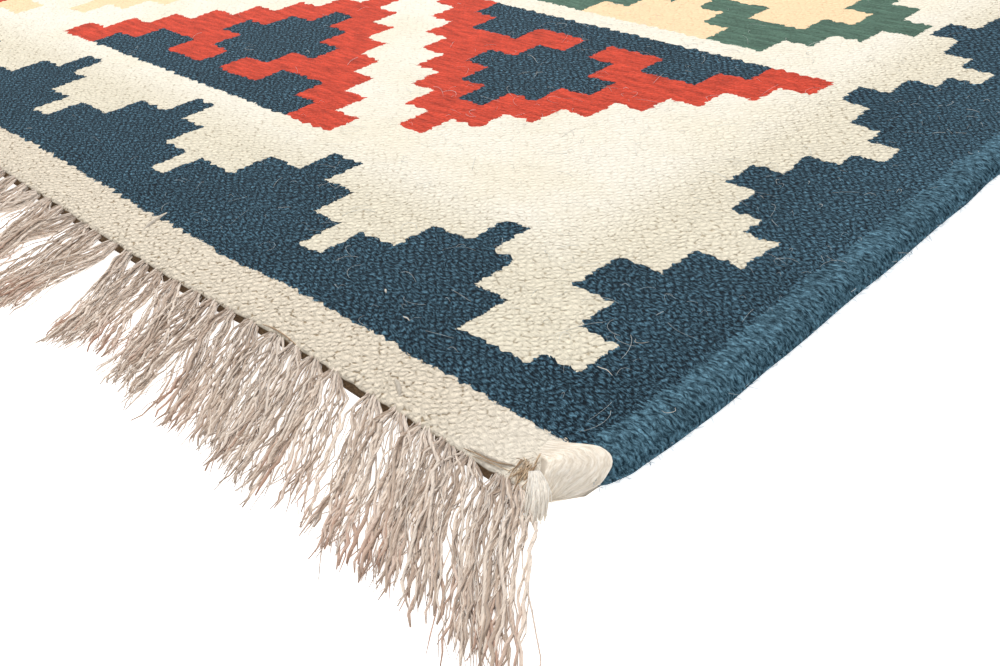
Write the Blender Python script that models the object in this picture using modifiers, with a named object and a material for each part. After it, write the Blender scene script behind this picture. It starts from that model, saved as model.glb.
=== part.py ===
"""Flat-woven wool kilim rug with thick selvedges and a combed-out warp fringe at both ends.

Axes: X runs across the rug (along the wefts), Y runs along the warps, +Z is up.
The origin is the centre of the rug on the floor that it lies on. Lengths are in metres.
"""
import math
import random

import bmesh
import bpy
from mathutils import Matrix, Vector

# ---- driving dimensions -------------------------------------------------------------------
CLOTH_WIDTH = 0.910              # 298 warps, 3.05 mm from centre to centre
CLOTH_LENGTH = 1.180             # woven length, both end bands included
CLOTH_THICK = 0.0030

SELVEDGE_WIDTH = 0.0135          # corded edge, wrapped with the border's wool
SELVEDGE_THICK = 0.0046
SELVEDGE_CREASE = 0.0004         # dip between the corded edge and the flat cloth
CORNER_ROUND = 0.0008            # softened edge round each woven end

FIT_GAP = 0.0003                 # clear gap between the cloth's end and the fringe
HEADING_DEPTH = 0.0040           # narrow strip where the warps leave the cloth
HEADING_THICK = 0.0018
HEADING_INSET = 0.0045           # the strip stops short of the rug's corners

BUNCH_PITCH = 0.00957            # warps leave the cloth in small bunches
LOCKS_IN_BUNCH = (2, 1)          # locks in each bunch, repeated along the end
LOCK_ROOT_WIDTH = {1: 0.0038, 2: 0.0025}
LOCK_ROOT_GAP = 0.0009           # between the two roots of one bunch
LOCK_CLEAR = 0.0006              # clear gap that neighbouring locks keep
LOCK_BEND = 1.25                 # how late a lock turns towards its tip
LOCK_BODY_WIDTH = 0.0046
LOCK_BODY_THICK = 0.0026
LOCK_TIP_WIDTH = 0.0011
LOCK_TIP_THICK = 0.0008
LOCK_CREST = 0.62                # top of a lock's section against its foot on the floor
LOCK_REACH = 0.0410              # from the strip to the tips, straight out
LOCK_REACH_SPREAD = 0.0032
LOCK_TIP_STRAY = 0.0007
SWEEP_AT_CORNER = 0.0360         # sideways lean of the tips beside the leading corner
SWEEP_LENGTH = 0.300             # the lean fades out over this distance
SWEEP_RIPPLE = 0.0040            # slow ripple of the lean along the rest of the end
RIPPLES = 5.0
SEED = 11

# Stations along a lock: share of its reach, width and thickness as shares of the body's.
LOCK_STATIONS = (
    # (reach, width, thick)
    (0.10, 0.80, 0.85),
    (0.34, 1.00, 1.00),
    (0.62, 0.94, 0.86),
    (0.86, 0.66, 0.58),
)

WOOL_IVORY = (0.83, 0.76, 0.60, 1.0)
WARP_TAUPE = (0.56, 0.48, 0.38, 1.0)


def clear_scene():
    """Remove every object that the scene starts with."""
    for item in list(bpy.data.objects):
        bpy.data.objects.remove(item, do_unlink=True)


def make_collection(name):
    """Return a new collection linked to the scene."""
    group = bpy.data.collections.new(name)
    bpy.context.scene.collection.children.link(group)
    return group


def make_material(name, colour, roughness):
    """Return a plain cloth material."""
    material = bpy.data.materials.new(name)
    material.use_nodes = True
    shader = material.node_tree.nodes["Principled BSDF"]
    shader.inputs["Base Color"].default_value = colour
    shader.inputs["Roughness"].default_value = roughness
    shader.inputs["Metallic"].default_value = 0.0
    material.diffuse_color = colour
    return material


def ease(t):
    """Smooth ramp from 0 to 1 with level ends."""
    t = min(max(t, 0.0), 1.0)
    return t * t * (3.0 - 2.0 * t)


# ---- the cloth ----------------------------------------------------------------------------
def selvedge_outline(steps=10):
    """Half of the cloth's cross-section, from mid-rug underneath round the edge to mid-rug on top.

    The corded edge is an oval that lies on the floor: flat underneath, round at the side, and
    dipping to a small crease where it meets the flat cloth.
    """
    half = CLOTH_WIDTH / 2.0
    middle = half - SELVEDGE_WIDTH / 2.0
    radius = SELVEDGE_THICK / 2.0
    points = [(0.0, 0.0), (middle, 0.0)]
    for step in range(1, steps):
        angle = -math.pi / 2.0 + math.pi * step / steps
        side = middle + (half - middle) * math.cos(angle)
        points.append((side, radius + radius * math.sin(angle)))
    points.append((middle, SELVEDGE_THICK))
    inner = half - SELVEDGE_WIDTH
    points.append((middle - SELVEDGE_WIDTH * 0.28, SELVEDGE_THICK - 0.0004))
    points.append((inner, CLOTH_THICK - SELVEDGE_CREASE))
    points.append((inner - 0.0030, CLOTH_THICK))
    points.append((0.0, CLOTH_THICK))
    return points


def build_cloth(group):
    """The woven rug: one cross-section drawn flat, run along the warps, its ends softened."""
    right = selvedge_outline()
    left = [(-x, z) for x, z in reversed(right) if x > 0.0]
    outline = right + left
    drawing = bpy.data.curves.new("cloth_section", "CURVE")
    drawing.dimensions = "2D"
    drawing.fill_mode = "BOTH"
    drawing.extrude = CLOTH_LENGTH / 2.0
    path = drawing.splines.new("POLY")
    path.points.add(len(outline) - 1)
    for point, (x, z) in zip(path.points, outline):
        point.co = (x, z, 0.0, 1.0)
    path.use_cyclic_u = True
    guide = bpy.data.objects.new("cloth_section", drawing)
    group.objects.link(guide)
    guide.rotation_euler = (math.pi / 2.0, 0.0, 0.0)
    bpy.context.view_layer.update()

    seen = guide.evaluated_get(bpy.context.evaluated_depsgraph_get())
    mesh = bpy.data.meshes.new_from_object(seen)
    mesh.name = "kilim_cloth"
    work = bmesh.new()
    work.from_mesh(mesh)
    bmesh.ops.remove_doubles(work, verts=work.verts, dist=0.00002)
    bmesh.ops.transform(work, matrix=guide.matrix_world, verts=work.verts)
    bmesh.ops.dissolve_limit(work, angle_limit=0.01, verts=work.verts, edges=work.edges)
    bmesh.ops.recalc_face_normals(work, faces=work.faces)
    work.to_mesh(mesh)
    work.free()
    bpy.data.objects.remove(guide, do_unlink=True)

    cloth = bpy.data.objects.new("kilim_cloth", mesh)
    group.objects.link(cloth)
    soften = cloth.modifiers.new("end_rounding", "BEVEL")
    soften.width = CORNER_ROUND
    soften.segments = 1
    soften.limit_method = "ANGLE"
    soften.angle_limit = math.radians(75.0)
    cloth.data.materials.append(make_material("woven_wool", WOOL_IVORY, 0.92))
    return cloth


# ---- the fringe ---------------------------------------------------------------------------
def lean_of_tips(x):
    """Sideways lean of the tips at the place x along the end.

    It is greatest at the leading corner (x = +half width) and fades out away from it.
    """
    from_corner = CLOTH_WIDTH / 2.0 - x
    fade = 1.0 - ease(from_corner / SWEEP_LENGTH)
    ripple = math.sin(2.0 * math.pi * RIPPLES * from_corner / CLOTH_WIDTH)
    return SWEEP_AT_CORNER * fade + SWEEP_RIPPLE * ripple * (1.0 - fade)


def lay_out_locks():
    """Root edges, tip and reach of every lock along one end, in order of x."""
    chance = random.Random(SEED)
    span = CLOTH_WIDTH - 2.0 * HEADING_INSET
    bunches = int(span // BUNCH_PITCH)
    pitch = span / bunches
    locks = []
    for bunch in range(bunches):
        centre = -span / 2.0 + (bunch + 0.5) * pitch
        count = LOCKS_IN_BUNCH[bunch % len(LOCKS_IN_BUNCH)]
        width = LOCK_ROOT_WIDTH[count]
        cluster = count * width + (count - 1) * LOCK_ROOT_GAP
        for place in range(count):
            left = centre - cluster / 2.0 + place * (width + LOCK_ROOT_GAP)
            locks.append({"left": left, "right": left + width})
    apart = span / len(locks)
    for index, lock in enumerate(locks):
        even = -span / 2.0 + (index + 0.5) * apart
        stray = chance.uniform(-LOCK_TIP_STRAY, LOCK_TIP_STRAY)
        lock["root"] = (lock["left"] + lock["right"]) / 2.0
        lock["tip"] = even + lean_of_tips(even) + stray
        lock["reach"] = LOCK_REACH + chance.uniform(-LOCK_REACH_SPREAD, LOCK_REACH_SPREAD)
    return locks


def centre_line(lock, out):
    """The place x and the sideways slope of a lock's centre line at the distance out.

    It leaves the strip straight out and bends smoothly towards its tip.
    """
    share = out / LOCK_REACH
    shift = lock["tip"] - lock["root"]
    bend = LOCK_BEND
    return lock["root"] + shift * share ** bend, bend * shift * share ** (bend - 1.0) / LOCK_REACH


def free_width(locks, index, out):
    """Widest section that keeps a lock clear of both its neighbours at the distance out."""
    x, slope = centre_line(locks[index], out)
    sides = [locks[near] for near in (index - 1, index + 1) if 0 <= near < len(locks)]
    nearest = min(abs(centre_line(side, out)[0] - x) for side in sides)
    return (nearest - LOCK_CLEAR) / math.hypot(1.0, slope)


def lock_section(locks, index, share, width, thick, y_root):
    """Four corners of a lock's section: left foot, right foot, right crest, left crest.

    Both feet are on the floor.
    """
    lock = locks[index]
    out = lock["reach"] * share
    x, slope = centre_line(lock, out)
    centre = Vector((x, y_root - out, 0.0))
    across = Vector((1.0, slope, 0.0)).normalized()
    foot = across * (min(width, free_width(locks, index, out)) / 2.0)
    crest = foot * LOCK_CREST
    lift = Vector((0.0, 0.0, thick))
    return centre - foot, centre + foot, centre + crest + lift, centre - crest + lift


def corners_of(face):
    """Vertices of a four-cornered face as left foot, right foot, right crest, left crest."""
    low_first = sorted(face.verts, key=lambda vert: vert.co.z)
    feet = sorted(low_first[:2], key=lambda vert: vert.co.x)
    crests = sorted(low_first[2:], key=lambda vert: vert.co.x)
    return feet[0], feet[1], crests[1], crests[0]


def build_fringe(group, name, turn):
    """One end's fringe: a narrow strip beside the cloth's end, with locks drawn out of it.

    The strip's outer side is a row of cells, every other one the root of a lock. Each root
    is extruded from station to station. turn rotates the whole fringe about the rug's centre.
    """
    locks = lay_out_locks()
    half = CLOTH_WIDTH / 2.0 - HEADING_INSET
    edges = [-half]
    for lock in locks:
        edges += [lock["left"], lock["right"]]
    edges.append(half)
    y_inner = -CLOTH_LENGTH / 2.0 - FIT_GAP
    y_root = y_inner - HEADING_DEPTH

    work = bmesh.new()
    bmesh.ops.create_grid(work, x_segments=len(edges) - 1, y_segments=1, size=0.5)
    work.verts.ensure_lookup_table()
    for vert in work.verts:
        cell = round((vert.co.x + 0.5) * (len(edges) - 1))
        height = HEADING_THICK if vert.co.y > 0.0 else 0.0
        vert.co = Vector((edges[cell], y_root, height))
    front = list(work.faces)
    made = bmesh.ops.extrude_face_region(work, geom=front, use_keep_orig=True)
    back = [item for item in made["geom"] if isinstance(item, bmesh.types.BMVert)]
    bmesh.ops.translate(work, vec=(0.0, HEADING_DEPTH, 0.0), verts=back)

    outer = [face for face in work.faces if all(abs(v.co.y - y_root) < 1e-7 for v in face.verts)]
    outer.sort(key=lambda face: face.calc_center_median().x)
    roots = outer[1::2]
    stations = [(share, LOCK_BODY_WIDTH * w, LOCK_BODY_THICK * t) for share, w, t in LOCK_STATIONS]
    stations.append((1.0, LOCK_TIP_WIDTH, LOCK_TIP_THICK))
    for share, width, thick in stations:
        drawn = bmesh.ops.extrude_discrete_faces(work, faces=roots)["faces"]
        drawn.sort(key=lambda face: face.calc_center_median().x)
        for index, face in enumerate(drawn):
            places = lock_section(locks, index, share, width, thick, y_root)
            for vert, place in zip(corners_of(face), places):
                vert.co = place
        roots = drawn
    bmesh.ops.transform(work, matrix=Matrix.Rotation(turn, 4, "Z"), verts=work.verts)
    bmesh.ops.recalc_face_normals(work, faces=work.faces)

    mesh = bpy.data.meshes.new(name)
    work.to_mesh(mesh)
    work.free()
    fringe = bpy.data.objects.new(name, mesh)
    group.objects.link(fringe)
    fringe.data.materials.append(make_material(name + "_warps", WARP_TAUPE, 0.95))
    return fringe


def main():
    """Build the rug."""
    clear_scene()
    group = make_collection("kilim_rug")
    build_cloth(group)
    build_fringe(group, "fringe_near", 0.0)
    build_fringe(group, "fringe_far", math.pi)


main()
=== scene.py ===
"""Looks of a flat-woven kilim rug that lies on a pale floor.

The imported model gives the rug's size and place. X runs across the rug along the wefts, Y runs
along the warps and Z is up; the origin is the rug's centre on the floor. Lengths are in metres,
and the charts of the pattern are in millimetres, as is WARP, the spacing of the warps.
"""

import logging
from collections.abc import Callable
from dataclasses import dataclass
from enum import Enum
from itertools import cycle

import bpy
import numpy as np
from mathutils import Matrix, Vector


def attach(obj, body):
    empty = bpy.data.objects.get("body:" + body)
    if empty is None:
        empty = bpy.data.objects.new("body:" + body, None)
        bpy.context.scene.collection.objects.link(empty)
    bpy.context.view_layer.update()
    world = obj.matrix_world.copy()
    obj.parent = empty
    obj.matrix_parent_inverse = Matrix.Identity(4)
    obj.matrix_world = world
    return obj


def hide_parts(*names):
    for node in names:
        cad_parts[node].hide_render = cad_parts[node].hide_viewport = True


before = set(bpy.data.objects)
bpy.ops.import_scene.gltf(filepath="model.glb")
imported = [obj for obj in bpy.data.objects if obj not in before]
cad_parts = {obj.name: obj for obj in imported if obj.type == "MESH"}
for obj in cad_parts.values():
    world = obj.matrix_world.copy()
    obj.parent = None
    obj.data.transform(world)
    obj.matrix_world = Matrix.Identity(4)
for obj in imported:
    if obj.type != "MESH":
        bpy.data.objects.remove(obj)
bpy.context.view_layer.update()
MM = 0.001
WARP = 910.0 / 298.0
UV_NAME = "weave"
TINT_NAME = "tint"
# how far apart the patterns of two strands start, in metres
STRAND_START = 0.05
log = logging.getLogger("kilim")


# ---- small helpers for arrays ----------------------------------------------------------------
def smooth(share: np.ndarray) -> np.ndarray:
    """Ramp from 0 to 1 with level ends: the cubic 3t^2 - 2t^3 of the clipped share."""
    t = np.clip(share, 0.0, 1.0)
    return t * t * (3.0 - 2.0 * t)


def eased(at: np.ndarray, table: tuple[tuple[float, float], ...]) -> np.ndarray:
    """Value of a short table at any place, with a smooth ramp between neighbouring rows.

    Args:
        at: places to look up.
        table: rows of (place, value), by rising place.

    Returns:
        One value for each place, level outside the table.
    """
    places, values = (np.array(column) for column in zip(*table))
    at = np.asarray(at, float)
    row = np.clip(np.searchsorted(places, at) - 1, 0, len(places) - 2)
    share = smooth((at - places[row]) / (places[row + 1] - places[row]))
    return values[row] + (values[row + 1] - values[row]) * share


def along_table(share: np.ndarray, points: tuple[tuple[float, ...], ...]) -> np.ndarray:
    """Points of a smooth line through a table of evenly spaced points (Catmull-Rom cubics).

    Args:
        share: places along the line from 0 to 1, any shape.
        points: the points that the line runs through.

    Returns:
        Array of the shape of share with one more axis for the coordinates.
    """
    knots = np.array(points, float)
    knots = np.vstack([2 * knots[0] - knots[1], knots, 2 * knots[-1] - knots[-2]])
    place = np.clip(share, 0.0, 1.0) * (len(points) - 1)
    row = np.clip(place.astype(int), 0, len(points) - 2)
    t = (place - row)[..., None]
    a, b, c, d = (knots[row + k] for k in range(4))
    return 0.5 * (2 * b + (c - a) * t + (2 * a - 5 * b + 4 * c - d) * t**2
                  + (3 * b - a - 3 * c + d) * t**3)


# ---- meshes ----------------------------------------------------------------------------------
def stood(name: str, data: bpy.types.ID) -> bpy.types.Object:
    """Stand a new object in the scene.

    Args:
        name: name of the object.
        data: its mesh, camera or light.

    Returns:
        The object, at the origin.
    """
    piece = bpy.data.objects.new(name, data)
    bpy.context.scene.collection.objects.link(piece)
    return piece


@dataclass
class Patch:
    """A mesh that is being put together: points, faces and what its material reads."""

    points: np.ndarray
    faces: list[np.ndarray]
    uv: list[np.ndarray]
    tint: np.ndarray

    @staticmethod
    def joined(patches: list["Patch"]) -> "Patch":
        """Put several patches together.

        Args:
            patches: the patches to join.

        Returns:
            One patch that holds them all.
        """
        starts = np.cumsum([0] + [len(p.points) for p in patches[:-1]])
        return Patch(
            np.concatenate([p.points for p in patches]),
            [face + start for p, start in zip(patches, starts) for face in p.faces],
            [corner for p in patches for corner in p.uv],
            np.concatenate([p.tint for p in patches]),
        )

    def turned(self) -> "Patch":
        """Return the patch with its faces turned the other way out."""
        return Patch(self.points, [face[:, ::-1] for face in self.faces],
                     [corner[:, ::-1] for corner in self.uv], self.tint)

    def mirrored(self, flip_x: bool, flip_y: bool) -> "Patch":
        """Mirror the patch across the rug's middle lines.

        Args:
            flip_x: whether right and left change places.
            flip_y: whether near and far change places.

        Returns:
            The mirrored patch, its faces still outwards.
        """
        scale = np.array([-1.0 if flip_x else 1.0, -1.0 if flip_y else 1.0, 1.0])
        patch = Patch(self.points * scale, self.faces, self.uv, self.tint)
        return patch.turned() if flip_x != flip_y else patch

    def triangles(self) -> int:
        """Number of triangles that the faces make."""
        return sum(len(face) * (face.shape[1] - 2) for face in self.faces)

    def make(self, name: str, material: bpy.types.Material, slot: "Slot") -> bpy.types.Object:
        """Put the arrays into a new mesh object that rides on the rug.

        Args:
            name: name of the piece.
            material: its finish.
            slot: not used.

        Returns:
            The new object, at the origin.
        """
        mesh = bpy.data.meshes.new(name)
        mesh.vertices.add(len(self.points))
        mesh.vertices.foreach_set("co", self.points.astype(np.float32).ravel())
        corners = np.concatenate([face.ravel() for face in self.faces])
        sizes = np.concatenate([np.full(len(face), face.shape[1]) for face in self.faces])
        mesh.loops.add(len(corners))
        mesh.loops.foreach_set("vertex_index", corners.astype(np.int32))
        mesh.polygons.add(len(sizes))
        starts = np.concatenate([[0], np.cumsum(sizes)[:-1]])
        mesh.polygons.foreach_set("loop_start", starts.astype(np.int32))
        mesh.update(calc_edges=True)
        mesh.polygons.foreach_set("use_smooth", np.ones(len(sizes), bool))
        layer = mesh.uv_layers.new(name=UV_NAME)
        flat = np.concatenate([corner.reshape(-1, 2) for corner in self.uv])
        layer.uv.foreach_set("vector", flat.astype(np.float32).ravel())
        marks = mesh.attributes.new(TINT_NAME, "FLOAT_VECTOR", "POINT")
        marks.data.foreach_set("vector", self.tint.astype(np.float32).ravel())
        mesh.validate()
        mesh.materials.append(material)
        piece = stood(name, mesh)
        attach(piece, "root")
        log.info("%s: %d triangles", name, self.triangles())
        return piece


class Slot(Enum):
    """Material slots of the finishes."""

    CLOTH = "woven_wool"
    FRINGE = "warp_fringe"


def grid_faces(rows: int, cols: int, closed: bool = False) -> np.ndarray:
    """Quads over a grid of points that is stored row by row.

    Args:
        rows: number of rows of points.
        cols: number of points in a row.
        closed: whether the last point of a row joins the first one.

    Returns:
        Array of (quads, 4) point numbers. They face up where columns run to +X and rows to +Y.
    """
    numbers = np.arange(rows * cols).reshape(rows, cols)
    if closed:
        numbers = np.concatenate([numbers, numbers[:, :1]], axis=1)
    corners = (numbers[:-1, :-1], numbers[:-1, 1:], numbers[1:, 1:], numbers[1:, :-1])
    return np.stack(corners, axis=-1).reshape(-1, 4)


def grid_uv(uv: np.ndarray) -> np.ndarray:
    """Face-corner coordinates of the quads over one or more grids.

    Args:
        uv: coordinates of the grids' points, (..., rows, cols, 2).

    Returns:
        Array of (quads, 4, 2).
    """
    low, high = uv[..., :-1, :, :], uv[..., 1:, :, :]
    corners = (low[..., :-1, :], low[..., 1:, :], high[..., 1:, :], high[..., :-1, :])
    return np.stack(corners, axis=-2).reshape(-1, 4, 2)


def closed_skin(points: np.ndarray, uv: np.ndarray) -> Patch:
    """A closed skin through rings of points, with one flat face at each end.

    Args:
        points: the rings, (rings, points in a ring, 3).
        uv: their coordinates, a ring's first point given again at its end.

    Returns:
        The skin, with a tint of 0.
    """
    rings, count = points.shape[:2]
    ends = np.stack([np.arange(count)[::-1], np.arange(count) + (rings - 1) * count])
    return Patch(points.reshape(-1, 3), [grid_faces(rings, count, closed=True), ends],
                 [grid_uv(uv), np.zeros((2, count, 2))], np.zeros((rings * count, 3)))


def tubes(paths: np.ndarray, radii: np.ndarray, sides: int, tint: np.ndarray) -> Patch:
    """Closed round strands, all with the same number of stations.

    A strand's surface is its centre line plus radius times (cos a * side + sin a * up), where
    side is the line's direction crossed with the vertical and up completes the three.

    Args:
        paths: centre lines, (strands, stations, 3).
        radii: radius at each station, (strands, stations).
        sides: number of faces round a strand.
        tint: two random values for each strand, (strands, 2).

    Returns:
        The strands with u round them, v along them in metres, and tint holding the first
        random value, the share along the strand and the second random value.
    """
    strands, stations = radii.shape
    ahead = np.gradient(paths, axis=1)
    ahead /= np.linalg.norm(ahead, axis=2, keepdims=True) + 1e-12
    side = np.cross(ahead, [0.0, 0.0, 1.0])
    side /= np.linalg.norm(side, axis=2, keepdims=True) + 1e-12
    up = np.cross(side, ahead)
    angle = 2.0 * np.pi * np.arange(sides) / sides
    ring = (np.cos(angle)[:, None] * side[:, :, None, :]
            + np.sin(angle)[:, None] * up[:, :, None, :])
    points = paths[:, :, None, :] + radii[:, :, None, None] * ring
    each = stations * sides
    quads = grid_faces(stations, sides, closed=True)[:, ::-1]
    quads = (quads[None] + (np.arange(strands) * each)[:, None, None]).reshape(-1, 4)

    steps = np.linalg.norm(np.diff(paths, axis=1), axis=2)
    far = np.concatenate([np.zeros((strands, 1)), np.cumsum(steps, axis=1)], axis=1)
    far = far + tint[:, :1] * STRAND_START
    u = np.broadcast_to(np.arange(sides + 1) / sides, (strands, stations, sides + 1))
    v = np.broadcast_to(far[:, :, None], u.shape)
    quad_uv = grid_uv(np.stack([u, v], axis=-1))[:, ::-1]

    here = np.arange(sides)
    there = (here + 1) % sides
    base = (np.arange(strands) * each)[:, None]
    poles = strands * each + np.arange(strands)[:, None]
    first = np.stack(np.broadcast_arrays(poles, base + here, base + there), axis=-1)
    last = base + each - sides
    tips = np.stack(np.broadcast_arrays(poles + strands, last + there, last + here), axis=-1)
    caps = np.concatenate([first.reshape(-1, 3), tips.reshape(-1, 3)])
    cap_uv = np.zeros((len(caps), 3, 2))
    cap_uv[: strands * sides, :, 1] = np.repeat(far[:, 0], sides)[:, None]
    cap_uv[strands * sides:, :, 1] = np.repeat(far[:, -1], sides)[:, None]

    share = np.broadcast_to(np.linspace(0.0, 1.0, stations)[None, :, None], points.shape[:3])
    marks = np.stack(np.broadcast_arrays(
        tint[:, 0][:, None, None], share, tint[:, 1][:, None, None]), axis=-1)
    ends = np.concatenate([
        np.stack([tint[:, 0], np.full(strands, end), tint[:, 1]], axis=-1) for end in (0.0, 1.0)])
    return Patch(
        np.concatenate([points.reshape(-1, 3), paths[:, 0], paths[:, -1]]),
        [quads, caps],
        [quad_uv, cap_uv],
        np.concatenate([marks.reshape(-1, 3), ends]),
    )


# ---- shader maths ----------------------------------------------------------------------------
Value = "Wire | float | int"


def maths(operation: str, turned: bool = False) -> Callable:
    """Make a method that adds a Math node on the wire and its other values.

    Args:
        operation: the node's operation.
        turned: whether the wire comes last, as in 1 - mask.

    Returns:
        The method.
    """
    def method(wire: "Wire", *others: Value) -> "Wire":
        """Add the node and return its output."""
        return wire.bench.math(operation, *((*others, wire) if turned else (wire, *others)))

    return method


class Wire:
    """An output socket whose arithmetic adds Math nodes to its tree.

    A comparison is 1 where it holds and 0 elsewhere. Of masks, least is where both hold and
    most is where either does.
    """

    def __init__(self, bench: "Bench", socket: bpy.types.NodeSocket) -> None:
        """Keep the socket and the bench that its tree is built on."""
        self.bench = bench
        self.socket = socket

    __add__, __radd__ = maths("ADD"), maths("ADD", turned=True)
    __sub__, __rsub__ = maths("SUBTRACT"), maths("SUBTRACT", turned=True)
    __mul__, __rmul__ = maths("MULTIPLY"), maths("MULTIPLY", turned=True)
    __truediv__, __pow__ = maths("DIVIDE"), maths("POWER")
    __lt__, __gt__ = maths("LESS_THAN"), maths("GREATER_THAN")
    __abs__, floor = maths("ABSOLUTE"), maths("FLOOR")
    least, most = maths("MINIMUM"), maths("MAXIMUM")


class Bench:
    """A new material's node tree, with the calls that add nodes to it."""

    specular: float = 0.08
    sheen_roughness: float = 0.55

    def __init__(self, name: str) -> None:
        """Start a material that has only its shader and output.

        Args:
            name: name of the material.
        """
        self.material = bpy.data.materials.new(name)
        self.material.use_nodes = True
        self.tree = self.material.node_tree
        self.shader = self.tree.nodes["Principled BSDF"]

    def plug(self, socket: bpy.types.NodeSocket, value: object) -> None:
        """Link a wire to a socket, or set the socket to a number, vector or colour.

        Args:
            socket: the input to feed.
            value: the wire or the plain value.
        """
        if isinstance(value, Wire):
            self.tree.links.new(value.socket, socket)
        else:
            socket.default_value = value

    def add(self, kind: str, settings: dict, sockets: dict, out: str | int = 0) -> Wire:
        """Add a node.

        Args:
            kind: the node's type without its ShaderNode prefix.
            settings: its properties; stops are a ramp's (place, colour) rows.
            sockets: values or wires by the input's name or number.
            out: the output to return.

        Returns:
            The chosen output.
        """
        node = self.tree.nodes.new("ShaderNode" + kind)
        for name, value in settings.items():
            if name == "stops":
                self.set_stops(node.color_ramp, value)
            elif name == "interpolation" and kind == "ValToRGB":
                node.color_ramp.interpolation = value
            else:
                setattr(node, name, value)
        for name, value in sockets.items():
            self.plug(node.inputs[name], value)
        return Wire(self, node.outputs[out])

    @staticmethod
    def set_stops(ramp: bpy.types.ColorRamp, stops: tuple) -> None:
        """Give a ramp its stops.

        Args:
            ramp: the ramp to change.
            stops: rows of (place, colour).
        """
        while len(ramp.elements) < len(stops):
            ramp.elements.new(1.0)
        for element, (place, colour) in zip(ramp.elements, stops):
            element.position = place
            element.color = colour

    def math(self, operation: str, *values: Value) -> Wire:
        """Add a Math node on numbers or wires."""
        return self.add("Math", {"operation": operation}, dict(enumerate(values)))

    def mix(self, factor: Value, first: object, second: object) -> Wire:
        """Colour mix: first where the factor is 0, second where it is 1."""
        return self.add("Mix", {"data_type": "RGBA"}, {0: factor, 6: first, 7: second}, 2)

    def choose(self, factor: Value, first: Value, second: Value) -> Wire:
        """Number mix: first where the factor is 0, second where it is 1."""
        return self.add("Mix", {"data_type": "FLOAT"}, {0: factor, 2: first, 3: second})

    def scaled(self, colour: object, factor: Value) -> Wire:
        """Colour times a number."""
        return self.add("VectorMath", {"operation": "SCALE"}, {0: colour, "Scale": factor})

    def steps(self, place: Wire, reach: float, rows: tuple[tuple[float, float], ...],
              full: float) -> Wire:
        """Look a value up in a stepped table: each row's value holds from its place on.

        Args:
            place: where to look, from 0 to reach.
            reach: the place that the ramp's far end stands for.
            rows: up to 32 rows of (place, value), by rising place, the first at 0.
            full: the greatest value in the table.

        Returns:
            The value.
        """
        stops = tuple((at / reach, (value / full,) * 3 + (1.0,)) for at, value in rows)
        settings = {"interpolation": "CONSTANT", "stops": stops}
        return self.add("ValToRGB", settings, {0: place / reach}) * full

    def between(self, value: Wire, low: float, high: float) -> Wire:
        """Smooth ramp from 0 at low to 1 at high; low may be the greater."""
        settings = {"interpolation_type": "SMOOTHSTEP", "clamp": True}
        return self.add("MapRange", settings, {0: value, 1: low, 2: high, 3: 0.0, 4: 1.0})

    def noise(self, vector: Wire, scale: float, detail: float = 2.0, out: str = "Fac",
              rough: float = 0.5) -> Wire:
        """Smooth noise around 0.5."""
        sockets = {"Vector": vector, "Scale": scale, "Detail": detail, "Roughness": rough}
        return self.add("TexNoise", {}, sockets, out)

    def random(self, vector: Wire) -> Wire:
        """A random value from 0 to 1 for each different vector."""
        return self.add("TexWhiteNoise", {}, {"Vector": vector}, "Value")

    def vector(self, x: Value, y: Value, z: Value = 0.0) -> Wire:
        """A vector of three numbers."""
        return self.add("CombineXYZ", {}, {0: x, 1: y, 2: z})

    def parts(self, vector: Wire) -> tuple[Wire, Wire, Wire]:
        """Split a vector or colour.

        Args:
            vector: the wire to split.

        Returns:
            Its three numbers.
        """
        node = self.tree.nodes.new("ShaderNodeSeparateXYZ")
        self.plug(node.inputs[0], vector)
        return tuple(Wire(self, socket) for socket in node.outputs)

    def weave_place(self) -> Wire:
        """The piece's own weave coordinates."""
        return self.add("UVMap", {"uv_map": UV_NAME}, {})

    def strand_tint(self) -> tuple[Wire, Wire, Wire]:
        """A strand's random value, the share along it and its second random value."""
        return self.parts(self.add("Attribute", {"attribute_name": TINT_NAME}, {}, "Vector"))

    def finish(self, colour: Wire, height: Wire, depth: float, roughness: Value,
               sheen: float) -> bpy.types.Material:
        """Feed the shader and return the material.

        Args:
            colour: base colour.
            height: relief in units of depth.
            depth: how deep a relief of 1 is, in metres.
            roughness: surface roughness.
            sheen: weight of the soft fuzz.

        Returns:
            The finished material.
        """
        bump = self.add("Bump", {}, {"Height": height, "Strength": 1.0, "Distance": depth})
        self.plug(self.shader.inputs["Base Color"], colour)
        self.plug(self.shader.inputs["Roughness"], roughness)
        self.plug(self.shader.inputs["Normal"], bump)
        self.shader.inputs["Specular IOR Level"].default_value = self.specular
        self.shader.inputs["Sheen Weight"].default_value = sheen
        self.shader.inputs["Sheen Roughness"].default_value = self.sheen_roughness
        return self.material


def tone(red: int, green: int, blue: int) -> tuple[float, float, float, float]:
    """Linear colour of a screen colour.

    Args:
        red: share of red from 0 to 255.
        green: share of green.
        blue: share of blue.

    Returns:
        Red, green, blue and a full alpha, from 0 to 1.
    """
    share = [v / 255.0 for v in (red, green, blue)]
    linear = [v / 12.92 if v <= 0.04045 else ((v + 0.055) / 1.055) ** 2.4 for v in share]
    return (*linear, 1.0)


class Wool(Enum):
    """Dyes of the rug's wool, and the colours of painted shade on the end wall and in navy pits.
    """

    IVORY = tone(237, 231, 218)
    IVORY_WARM = tone(226, 217, 195)
    BAND = tone(227, 215, 195)
    BAND_PALE = tone(237, 228, 212)
    NAVY = tone(9, 29, 41)
    NAVY_FUZZ = tone(91, 129, 149)
    RED = tone(191, 66, 46)
    GREEN = tone(77, 104, 90)
    YELLOW = tone(241, 209, 169)
    # painted shade: the end wall beneath the band's edge, in the shadow under the cloth
    SHADED_WARP = tone(116, 94, 70)
    # painted shade in the pits between navy grains
    NAVY_PIT_SHADE = tone(8, 22, 32)


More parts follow.
